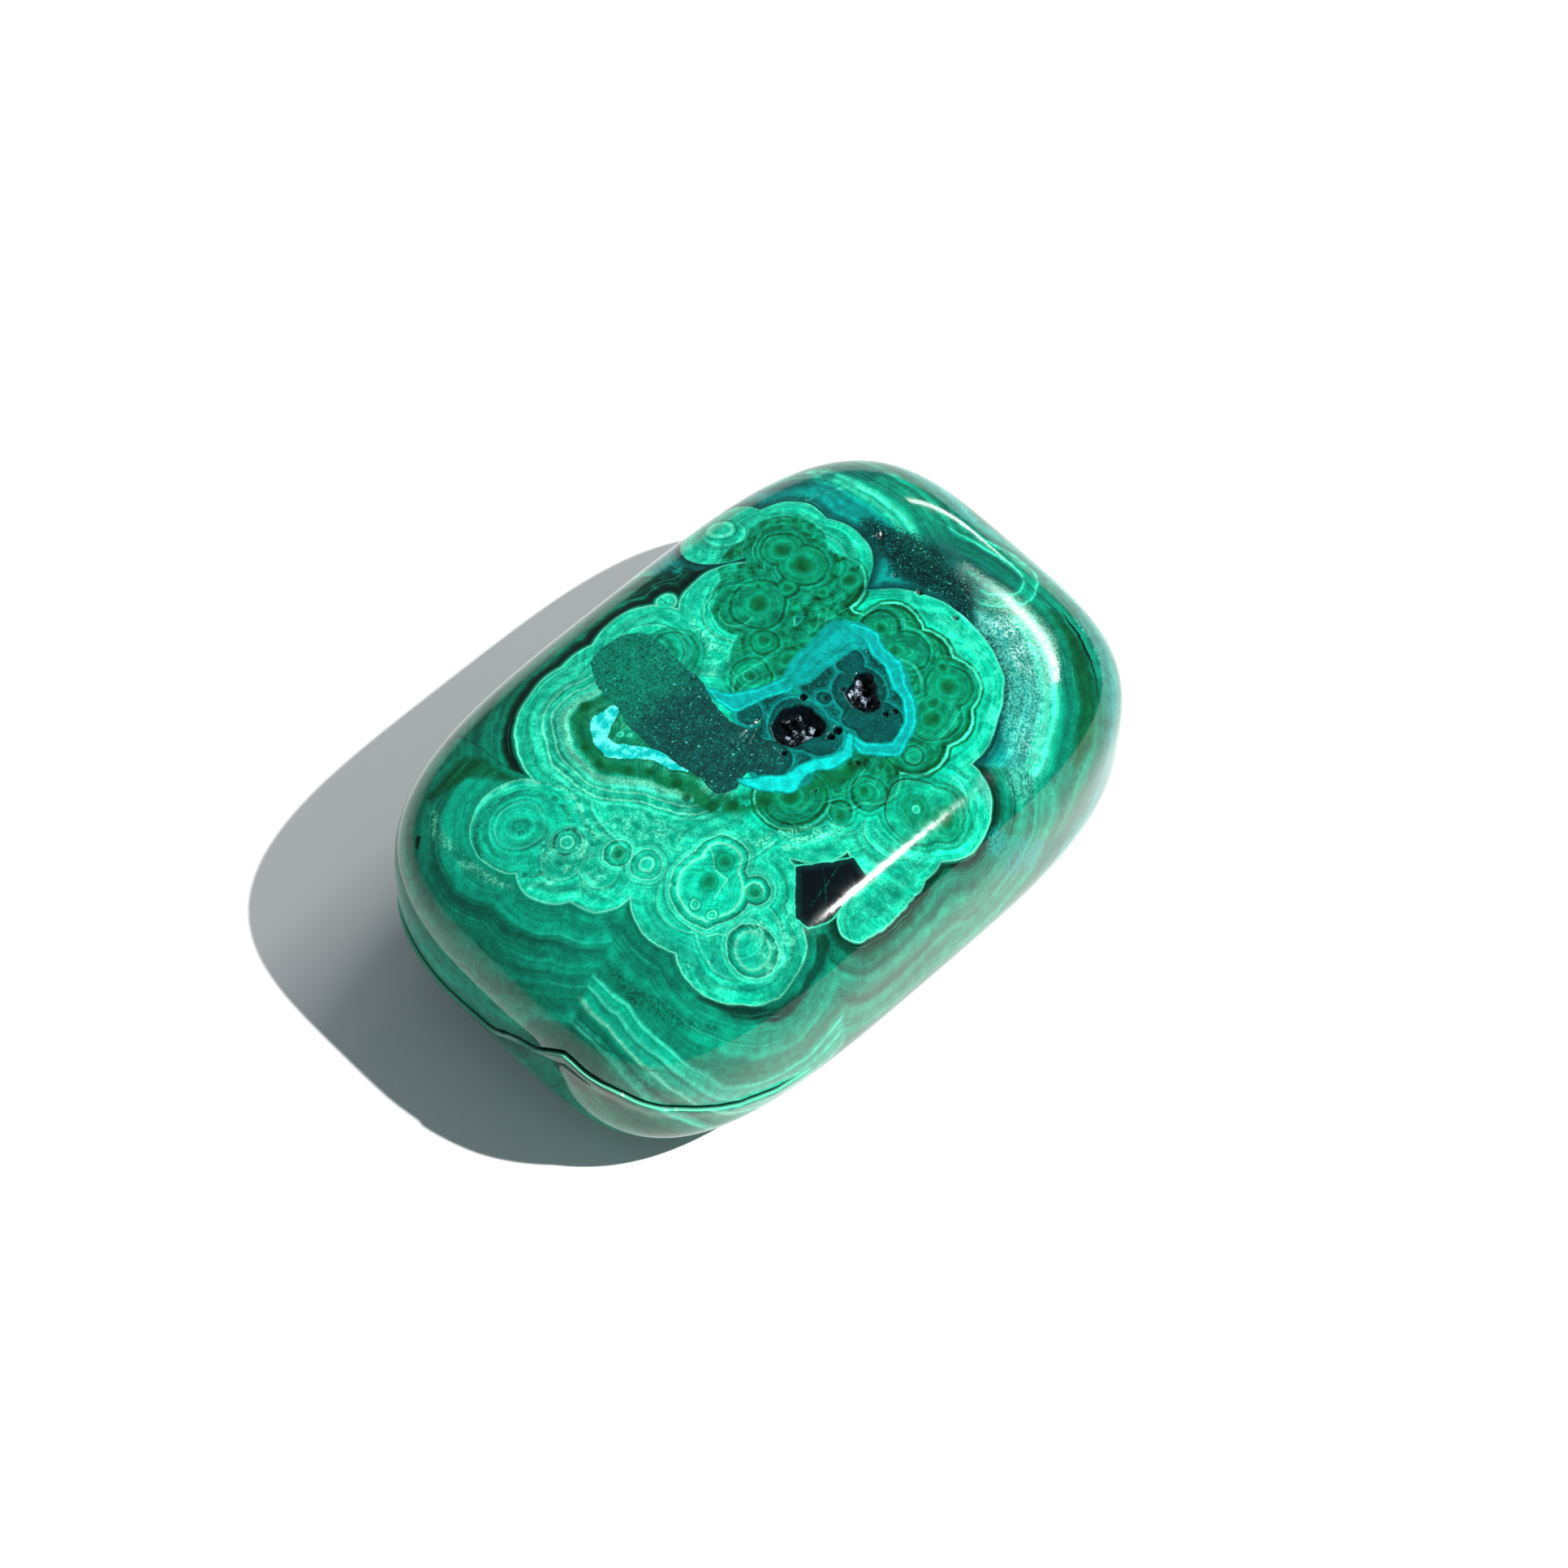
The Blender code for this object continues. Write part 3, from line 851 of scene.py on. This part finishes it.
# ringed eyes: the rings are spaced by the eye's own size
darkEyes = {
    "orbs": ((6.3, 7.1, 1.2), (10.85, 7.15, 1.5), (10.8, 9.3, 1.3), (8.65, 6.5, 0.6), (10.2, 4.5, 0.55),
             (6.1, 2.3, 0.55), (9.2, 3.3, 0.4), (12.3, 3.9, 0.8), (4.6, 2.1, 0.8), (11.2, -0.3, 0.8),
             (10.6, -2.4, 0.75), (8.7, -8.1, 1.1), (11.3, -6.9, 1.2), (9.6, -7.2, 0.7), (1.1, -9.0, 0.7),
             (-1.3, -9.2, 0.7), (-2.9, -5.9, 1.1), (3.2, -12.1, 0.9), (4.4, -14.1, 0.9), (-9.6, -9.6, 0.65),
             (-14.4, -0.9, 0.6), (-11.4, -6.8, 0.7), (13.4, 10.6, 0.5), (4.3, 4.4, 0.8), (-1.3, -6.7, 0.25),
             (7.2, 8.1, 0.4), (-9.6, -6.4, 0.8), (12.2, -5.6, 0.6)),
    "bands": ((0.0, "mossDark"), (0.38, "moss"), (0.58, "leaf"), (0.7, "emerald"), (0.82, "leaf"),
              (1.0, "leaf")),
}

paleEyes = {
    "orbs": ((-13.6, -2.9, 0.72), (-12.85, -8.8, 0.45), (-7.8, 5.8, 0.34), (-7.4, 5.2, 0.22),
             (9.45, 14.2, 1.25), (17.1, 8.7, 1.0), (-13.2, -7.4, 0.45), (-16.2, 2.2, 0.6),
             (3.1, -12.1, 0.35)),
    "bands": ((0.0, "paleMint"), (0.3, "mintDeep"), (0.5, "mint"), (0.68, "paleLine"), (0.82, "mint"),
              (0.92, "deep"), (1.0, "emerald"), (1.15, "mintDeep")),
}

# the speckled orb in the left lobe
leftOrb = {
    "orbs": ((-17.9, 5.2, 1.0), (-17.5, 4.4, 0.9)),
    "bands": ((0.0, "mintDeep"), (0.6, "mint"), (1.2, "mintDeep"), (1.7, "mint"), (1.95, "deep"),
              (2.15, "deep"), (2.3, "mint"), (2.7, "paleMint"), (2.95, "paleLine"), (3.1, "mint")),
}

# the blue-green ribbon: strokes of x, y, half width
ribbon = {
    "hook": ((-7.1, 7.6, 0.45), (-8.3, 7.5, 0.8), (-9.15, 6.6, 0.6), (-9.2, 5.4, 0.6), (-8.4, 4.1, 0.55),
             (-7.4, 2.9, 0.42), (-6.95, 1.4, 0.3), (-6.6, 0.3, 0.06)),
    "west": ((-4.6, -2.7, 0.15), (-3.6, -3.7, 0.55), (-2.3, -5.05, 0.7), (-1.0, -4.95, 0.42),
             (0.1, -5.2, 0.38), (1.1, -5.95, 0.42), (2.3, -6.1, 0.32), (3.4, -5.3, 0.2)),
    "east": ((3.3, -5.4, 0.25), (3.5, -6.7, 0.45), (5.2, -8.1, 0.48), (7.3, -7.35, 0.4), (8.5, -5.9, 0.36),
             (8.8, -4.7, 0.42), (9.7, -3.1, 0.46), (9.8, -1.6, 0.46), (10.2, -0.5, 0.5), (9.6, 1.0, 0.4)),
    "crest": ((-1.12, 4.3, 0.05), (-0.95, 3.0, 0.4), (-0.5, 2.2, 0.7), (1.2, 1.5, 0.5), (3.0, 0.8, 0.6)),
    "body": ((2.8, 0.8, 0.5), (4.6, 0.8, 1.0), (6.6, 0.9, 1.2), (8.6, 1.1, 1.3), (9.4, -0.2, 0.7)),
    "bodyBands": ((-0.9, "turquoise"), (-0.5, "teal"), (-0.3, "turquoise"), (0.1, "teal")),
}

# granular or dark zones inside the ribbon
tealOrbs = {
    "orbs": ((-1.9, -2.7, 1.5), (1.9, -3.9, 1.55), (5.6, -5.9, 1.75), (5.0, -4.6, 1.2), (1.5, -2.1, 2.0),
             (6.5, -3.1, 1.85), (-0.4, 0.9, 0.85), (7.6, -1.0, 1.0), (4.35, -1.8, 0.5)),
    "bands": ((-2.0, "tealInk"), (-0.9, "tealDark"), (-0.3, "tealDark"), (-0.05, "tealInk"), (0.05, "teal"),
              (0.12, "turquoise"), (0.2, "teal"), (0.32, "tealDark"), (0.42, "teal")),
}

cavity = {
    "west": {"middle": (0.3, -2.2), "radii": (3.2, 3.4, 3.9, 4.6, 3.7, 3.0, 3.4, 4.4, 4.3, 3.3, 4.2, 3.6)},
    "east": {"middle": (6.3, -3.2), "radii": (3.8, 4.8, 6.0, 4.6, 4.9, 3.3, 3.1, 3.5, 5.0, 5.0, 4.2, 3.7)},
}

granularPatch = {
    "middle": (-3.8, 4.0),
    "radii": (2.55, 2.85, 3.3, 3.95, 5.9, 7.95, 8.3, 7.4, 5.7, 4.35, 3.7, 3.35, 3.35, 3.45, 3.7, 4.25, 5.2,
              7.1, 6.5, 8.0, 5.0, 2.95, 2.5, 2.4),
}

# blue-green scuffs on the -Y side and a dark smudge under the fissure: x, y, depth, radius
scuffs = ((6.7, -16.8, -2.6, 1.0), (8.2, -17.4, -4.3, 1.3), (9.8, -17.4, -5.4, 1.2))
smudges = ((-25.8, -7.2, -4.8, 0.7), (-25.7, -8.2, -4.9, 0.9), (-25.4, -9.2, -5.0, 1.1),
           (-25.1, -10.2, -5.0, 0.9), (-24.7, -11.1, -5.2, 0.6))

# the dark gap between the two lower lobes
gap = {
    "scratches": (((-3.6, -11.9, 0.03), (-5.6, -12.2, 0.06), (-7.3, -12.6, 0.03)),
                  ((-5.0, -11.2, 0.03), (-6.2, -12.9, 0.05), (-7.0, -13.6, 0.03))),
    "corners": ((-6.3, -10.0), (-2.7, -12.1), (-2.8, -13.8), (-6.7, -14.15), (-8.4, -13.6), (-8.7, -12.7)),
    "bands": ((-1.3, "black"), (-0.5, "black"), (-0.15, "tealInk"), (-0.04, "darkGreen"),
              (0.03, "paleMint"), (0.12, "emerald")),
}

# roughness of each finish, then the gloss and the bump
polish = {
    "smooth": 0.06,
    "grainy": 0.30,
    "pit": 0.35,
    "worn": 0.15,
    "uneven": 0.02,
    "ior": 1.55,
    "specular": 0.30,
    "bump": 0.35,
    "bumpHeight": 0.015 * mm,
}

# the mineral's own noises: scale, detail, roughness
mineralNoises = {
    "mottle": (1.3, 4.0, 0.62),
    "grit": (5.5, 3.0, 0.7),
    "broad": (0.55, 3.0, 0.55),
    "specks": (3.4, 2.0, 0.6),
}


def makeTextures(tree, place):
    # noises used again and again, and masks made from them
    mottle = fractalNoise(tree, place, *mineralNoises["mottle"])
    grit = fractalNoise(tree, place, *mineralNoises["grit"])
    broad = fractalNoise(tree, place, *mineralNoises["broad"])
    patches = mapRange(tree, mottle, 0.40, 0.60)
    return {
        "speckle": maths(tree, "MULTIPLY", patches, mapRange(tree, grit, 0.40, 0.62)),
        "mottleNoise": mottle,
        "gritNoise": grit,
        "mottle": mapRange(tree, mottle, 0.44, 0.58),
        "grit": mapRange(tree, grit, 0.42, 0.56),
        "blotch": mapRange(tree, broad, 0.36, 0.52),
        "specks": mapRange(tree, fractalNoise(tree, place, *mineralNoises["specks"]), 0.66, 0.72),
    }


def outsideColour(tree, plain, place, flat, depthFade, textures):
    drift = maths(tree, "MULTIPLY", maths(tree, "SUBTRACT", textures["mottleNoise"], 0.5), 0.22)
    front, colour = outsideBands(tree, place, drift)
    for points, tone, soft, strength, texture in outsideStrokes:
        amount = depthFade if texture is None else maths(tree, "MULTIPLY", depthFade, textures[texture])
        colour = brush(tree, colour, flat, points, tone, soft, strength, amount)
    eye = strokeEdge(tree, flat, eastEye["stroke"])
    eyeShown = mapRange(tree, along(tree, flat, 1), 5.0, 2.0)
    eyeShown = maths(tree, "MULTIPLY", eyeShown,
                     mapRange(tree, textures["mottleNoise"], 0.36, 0.52, 0.4, 1.0))
    colour = paint(tree, colour, eye, eastEye["bands"], 0.5, 0.75,
                   maths(tree, "MULTIPLY", depthFade, eyeShown))
    colour = addLines(tree, colour, plain, front, "outside")
    dark = mapRange(tree, textures["gritNoise"], 0.46, 0.68)
    dark = mixColours(tree, dark, tones["black"], tones["tealDark"])
    patchEdge = strokeEdge(tree, flat, speckledPatch["stroke"])
    patchEdge = maths(tree, "MULTIPLY_ADD", textures["gritNoise"], -4.0, patchEdge)
    amount = mapRange(tree, patchEdge, -1.6, -2.4, 0.0, 0.95)
    colour = mixColours(tree, maths(tree, "MULTIPLY", amount, depthFade), colour, dark)
    colour = brush(tree, colour, flat, speckledPatch["lighter"], "tealDark", 0.5, 0.8, textures["mottle"])
    specks = maths(tree, "MULTIPLY", amount, textures["specks"])
    colour = mixColours(tree, specks, colour, tones["greyTeal"])
    return front, colour


def insideColour(tree, plain, flat, front, textures):
    colour = colourRamp(tree, front, matrixBands[0][0], matrixBands[-1][0], tonedStops(matrixBands))
    hook = strokeEdge(tree, flat, ribbon["hook"])
    colour = paint(tree, colour, hook, hookRings, 0.1, 0.9,
                   mapRange(tree, textures["gritNoise"], 0.30, 0.52, 0.35, 1.0))
    heartEdge = growthFront(tree, flat, heart["lobes"])
    fill = mixColours(tree, textures["blotch"], tones["moss"], tones["leaf"])
    fill = mixColours(tree, maths(tree, "MULTIPLY", textures["mottle"], 0.6), fill, tones["emerald"])
    fill = tint(tree, fill, textures["mottleNoise"], 0.44, 0.36, "mossDark", 0.75)
    chalk = maths(tree, "MULTIPLY", textures["speckle"], 0.18)
    colour = mixColours(tree, chalk, colour, tones["paleLine"])
    colour = mixColours(tree, mapRange(tree, heartEdge, 0.0, -0.3), colour, fill)
    rim = mapRange(tree, heartEdge, -1.1, -0.6)
    rim = maths(tree, "MULTIPLY", rim, mapRange(tree, along(tree, flat, 1), 6.0, 3.0, 0.15, 0.95))
    colour = paint(tree, colour, heartEdge, heart["bands"], 0.1, 1.0, rim)
    mossEdge = growthFront(tree, flat, mossOrbs["orbs"])
    colour = paint(tree, colour, mossEdge, mossOrbs["bands"], 0.1, 0.7)
    paleEdge = growthFront(tree, flat, paleOrbs["orbs"])
    colour = paint(tree, colour, paleEdge, paleOrbs["bands"], 0.1, 0.8)
    colour = brush(tree, colour, flat, paleOrbs["walls"], "paleLine", 0.05, 0.9)
    leftEdge = growthFront(tree, flat, leftOrb["orbs"])
    colour = paint(tree, colour, leftEdge, leftOrb["bands"], 0.15, 0.9, textures["mottle"])
    nearest = maths(tree, "MINIMUM", maths(tree, "MINIMUM", mossEdge, paleEdge),
                    maths(tree, "MINIMUM", hook, leftEdge))
    colour = addLines(tree, colour, plain, nearest, "orbs")
    colour = addLines(tree, colour, plain, front, "inside")
    colour = brush(tree, colour, flat, belt["stroke"], "moss", 0.45, 0.95,
                   mapRange(tree, textures["mottleNoise"], 0.36, 0.50))
    blots = nearestOrb(tree, flat, belt["blots"])
    colour = tint(tree, colour, blots, 1.15, 0.4, "mossDark", 0.85)
    for points, tone, soft, strength, texture in insideStrokes:
        colour = brush(tree, colour, flat, points, tone, soft, strength, textures.get(texture))
    colour = paint(tree, colour, nearestOrb(tree, flat, darkEyes["orbs"]), darkEyes["bands"], 0.15, 0.8)
    colour = paint(tree, colour, nearestOrb(tree, flat, paleEyes["orbs"]), paleEyes["bands"], 0.1, 0.8)
    return colour, hook


def cavityColour(tree, colour, flat, north, hook, textures):
    blend = maths(tree, "ADD", north, maths(tree, "MULTIPLY", textures["blotch"], 1.6))
    granules = mixColours(tree, mapRange(tree, blend, 9.0, 5.8), tones["patch"], tones["patchDark"])
    granules = tint(tree, granules, textures["gritNoise"], 0.50, 0.34, "tealInk", 0.85)
    granules = tint(tree, granules, textures["gritNoise"], 0.56, 0.72, "teal", 0.8)
    specks = maths(tree, "MULTIPLY", textures["specks"], 0.6)
    granules = mixColours(tree, specks, granules, tones["cyanPale"])
    for room in cavity.values():
        edge = outlineEdge(tree, flat, room["middle"], room["radii"])
        colour = tint(tree, colour, edge, 0.05, -0.05, "teal")
        colour = mixColours(tree, mapRange(tree, edge, -0.15, -0.8), colour, granules)
    colour = paint(tree, colour, growthFront(tree, flat, tealOrbs["orbs"]), tealOrbs["bands"], 0.05, 0.6)
    edge = outlineEdge(tree, flat, granularPatch["middle"], granularPatch["radii"])
    inPatch = mapRange(tree, edge, 0.06, -0.06)
    colour = mixColours(tree, inPatch, colour, granules)
    body = strokeEdge(tree, flat, ribbon["body"])
    colour = paint(tree, colour, body, ribbon["bodyBands"], 0.1, 0.95)
    for name, tone in (("crest", "turquoise"), ("east", "turquoise"), ("west", "cyan")):
        edge = strokeEdge(tree, flat, ribbon[name])
        stops = ((-0.7, tone), (-0.25, tone), (-0.08, "cyan"), (0.02, "teal"), (0.1, "teal"))
        colour = paint(tree, colour, edge, stops, 0.05, 1.0, mapRange(tree, body, -0.5, 0.1))
    streaks = mixColours(tree, textures["mottle"], tones["cyan"], tones["cyanPale"])
    colour = mixColours(tree, mapRange(tree, hook, 0.04, -0.04), colour, streaks)
    return colour, inPatch


def malachiteMaterial():
    material = bpy.data.materials.new("polishedMalachite")
    material.use_nodes = True
    tree = material.node_tree
    shader = tree.nodes["Principled BSDF"]
    where = addNode(tree, "ShaderNodeTexCoord").outputs["Object"]
    placing = addNode(tree, "ShaderNodeMapping", vector_type="POINT")
    space = patternSpace
    placing.inputs["Scale"].default_value = (1 / mm, 1 / mm, space["depthScale"] / mm)
    placing.inputs["Location"].default_value = (0, 0, -space["topHeight"] * space["depthScale"])
    feed(tree, placing.inputs["Vector"], where)
    plain = placing.outputs["Vector"]
    middle = (0.5, 0.5, 0.5)
    wander = fractalNoise(tree, plain, space["warpScale"], 1.0, output="Color")
    wander = vectorMaths(tree, "SUBTRACT", wander, middle)
    warped = vectorMaths(tree, "ADD", plain, vectorMaths(tree, "SCALE", wander, scale=space["warpAmount"]))
    fine = fractalNoise(tree, plain, space["raggedScale"], 3.0, output="Color")
    fine = vectorMaths(tree, "SUBTRACT", fine, middle)
    place = vectorMaths(tree, "SCALE", fine, scale=space["frontRaggedAmount"])
    place = vectorMaths(tree, "ADD", warped, place)
    ragged = vectorMaths(tree, "SCALE", fine, scale=space["raggedAmount"])
    ragged = vectorMaths(tree, "ADD", warped, ragged)
    flat = vectorMaths(tree, "MULTIPLY", ragged, (1.0, 1.0, 0.0))
    depthFade = mapRange(tree, along(tree, place, 2), *space["sideFade"])

    textures = makeTextures(tree, plain)
    front, outside = outsideColour(tree, plain, place, flat, depthFade, textures)
    inside, hook = insideColour(tree, plain, flat, front, textures)
    inside, inPatch = cavityColour(tree, inside, flat, along(tree, place, 1), hook, textures)
    colour = mixColours(tree, mapRange(tree, front, -0.03, 0.03), inside, outside)
    colour = paint(tree, colour, facetEdge(tree, flat, gap["corners"]), gap["bands"], 0.05)
    for scratch in gap["scratches"]:
        colour = brush(tree, colour, flat, scratch, "tealDark", 0.06, 0.8, textures["grit"])
    shade = mapRange(tree, textures["mottleNoise"], 0.3, 0.7, 0.66, 1.08)
    shade = maths(tree, "MULTIPLY", shade, mapRange(tree, textures["gritNoise"], 0.3, 0.7, 0.78, 1.12))
    colour = mixColours(tree, 1.0, colour, grey(tree, shade), "MULTIPLY")

    # marks on the sides
    for marks, tone, cover in ((scuffs, "teal", textures["grit"]),
                               (smudges, "darkGreen", textures["blotch"])):
        amount = mapRange(tree, nearestOrb(tree, ragged, marks), 1.2, 0.6)
        colour = mixColours(tree, maths(tree, "MULTIPLY", amount, cover), colour, tones[tone])

    # open hollows go near-black with depth: the crystals' own dark colour together with painted shade, and
    # a few crystal faces carry a painted glint
    attribute = {name: addNode(tree, "ShaderNodeAttribute", attribute_name=name).outputs["Fac"]
                 for name in ("hollow", "crack", "glint")}
    paintedGlintMask = maths(tree, "MULTIPLY", attribute["glint"], textures["grit"])
    pitShadeAndGlints = mixColours(tree, paintedGlintMask, tones["black"], tones["white"])
    colour = mixColours(tree, mapRange(tree, attribute["hollow"], 0.02, 0.25), colour, pitShadeAndGlints)
    # painted highlight: a pale line along the fissure's lips; painted shade: the groove itself darkened to
    # ink
    colour = tint(tree, colour, attribute["crack"], 0.0, 0.05, "paleLine", 0.8)
    colour = tint(tree, colour, attribute["crack"], 0.08, 0.5, "ink")
    feed(tree, shader.inputs["Base Color"], colour)

    grain = maths(tree, "MULTIPLY", inPatch, mapRange(tree, front, 0.03, -0.03))
    roughness = mapRange(tree, grain, 0.0, 1.0, polish["smooth"], polish["grainy"])
    roughness = maths(tree, "MAXIMUM", roughness,
                      mapRange(tree, attribute["hollow"], 0.02, 0.15, 0.0, polish["pit"]))
    haze = mapRange(tree, strokeEdge(tree, flat, speckledPatch["worn"]), 0.8, -0.6, 0.0, polish["worn"])
    haze = maths(tree, "MULTIPLY", haze, mapRange(tree, textures["gritNoise"], 0.35, 0.65, 0.5, 1.6))
    roughness = maths(tree, "MAXIMUM", roughness, haze)
    roughness = maths(tree, "MULTIPLY_ADD", textures["mottle"], polish["uneven"], roughness)
    feed(tree, shader.inputs["Roughness"], roughness)
    bump = addNode(tree, "ShaderNodeBump")
    bump.inputs["Strength"].default_value = polish["bump"]
    bump.inputs["Distance"].default_value = polish["bumpHeight"]
    height = maths(tree, "MULTIPLY_ADD", grain, 0.8, 0.2)
    feed(tree, bump.inputs["Height"], maths(tree, "MULTIPLY", textures["gritNoise"], height))
    feed(tree, shader.inputs["Normal"], bump.outputs["Normal"])
    shader.inputs["IOR"].default_value = polish["ior"]
    shader.inputs["Specular IOR Level"].default_value = polish["specular"]
    return material


camera = {
    "distance": 0.350,
    "back": Vector((-0.344, -0.3625, 0.866)).normalized(),
    "right": Vector((0.725, -0.688, 0.0)).normalized(),
    "aimRight": 1.56 * mm,
    "aimUp": 0.58 * mm,
    "lens": 112.8,
}

light = {
    "towardsKey": Vector((0.329, -0.487, 0.809)).normalized(),
    "keyDistance": 0.60,
    "keySize": 0.009,
    "keyPower": 4.9,
    "keyColour": (1.0, 0.985, 0.96),
    "strips": (
        {"low": Vector((0.82, 0.45, 0.35)), "high": Vector((0.93, 0.35, 0.10)), "width": 0.012,
         "power": 0.16},
        {"low": Vector((0.80, 0.33, 0.51)), "high": Vector((0.73, -0.14, 0.67)), "width": 0.03,
         "power": 1.7},
    ),
    "worldColour": (0.78, 0.90, 1.0, 1.0),
    "worldStrength": 0.24,
}


def makeCamera():
    data = bpy.data.cameras.new("camera")
    data.lens = camera["lens"]
    data.sensor_width = 36
    data.clip_start = 0.01
    thing = bpy.data.objects.new("camera", data)
    up = camera["back"].cross(camera["right"])
    middle = Vector((0, 0, stoneShape["middleHeight"]))
    aim = middle + camera["right"] * camera["aimRight"] + up * camera["aimUp"]
    thing.location = aim + camera["back"] * camera["distance"]
    thing.rotation_euler = camera["back"].to_track_quat("Z", "Y").to_euler()
    bpy.context.scene.collection.objects.link(thing)
    bpy.context.scene.camera = thing


def addLamp(name, shape, towards, width, height, power):
    data = bpy.data.lights.new(name, "AREA")
    data.shape = shape
    data.size = width
    if height:
        data.size_y = height
    data.energy = power
    data.color = light["keyColour"]
    thing = bpy.data.objects.new(name, data)
    thing.location = towards * light["keyDistance"]
    bpy.context.scene.collection.objects.link(thing)
    return thing


def makeLights():
    towards = light["towardsKey"]
    key = addLamp("key", "DISK", towards, light["keySize"], None, light["keyPower"])
    key.rotation_euler = towards.to_track_quat("Z", "Y").to_euler()
    for lamp in light["strips"]:
        towards = (lamp["low"] + lamp["high"]).normalized()
        span = lamp["high"] - lamp["low"]
        length = span.length * light["keyDistance"]
        strip = addLamp("strip", "RECTANGLE", towards, lamp["width"], length, lamp["power"])
        longWay = span.normalized()
        side = longWay.cross(towards).normalized()
        strip.rotation_euler = Matrix((side, towards.cross(side), towards)).transposed().to_euler()
    world = bpy.data.worlds.new("studio")
    world.use_nodes = True
    world.node_tree.nodes["Background"].inputs["Color"].default_value = light["worldColour"]
    world.node_tree.nodes["Background"].inputs["Strength"].default_value = light["worldStrength"]
    bpy.context.scene.world = world


paper = {"halfSize": 2.0, "colour": (0.88, 0.88, 0.88, 1), "roughness": 0.9}


def makeFloor():
    bm = bmesh.new()
    bmesh.ops.create_grid(bm, x_segments=1, y_segments=1, size=paper["halfSize"])
    mesh = bpy.data.meshes.new("floor")
    bm.to_mesh(mesh)
    bm.free()
    thing = bpy.data.objects.new("floor", mesh)
    bpy.context.scene.collection.objects.link(thing)
    material = bpy.data.materials.new("paper")
    material.use_nodes = True
    shader = material.node_tree.nodes["Principled BSDF"]
    shader.inputs["Base Color"].default_value = paper["colour"]
    shader.inputs["Roughness"].default_value = paper["roughness"]
    mesh.materials.append(material)


bpy.context.scene.view_settings.view_transform = "Standard"
makeCamera()
makeLights()
makeFloor()
print("camera, light and floor placed")

stone = makeStone()
stone.data.materials.append(malachiteMaterial())
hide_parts("malachite_stone")
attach(stone, "root")
print("stone finished")
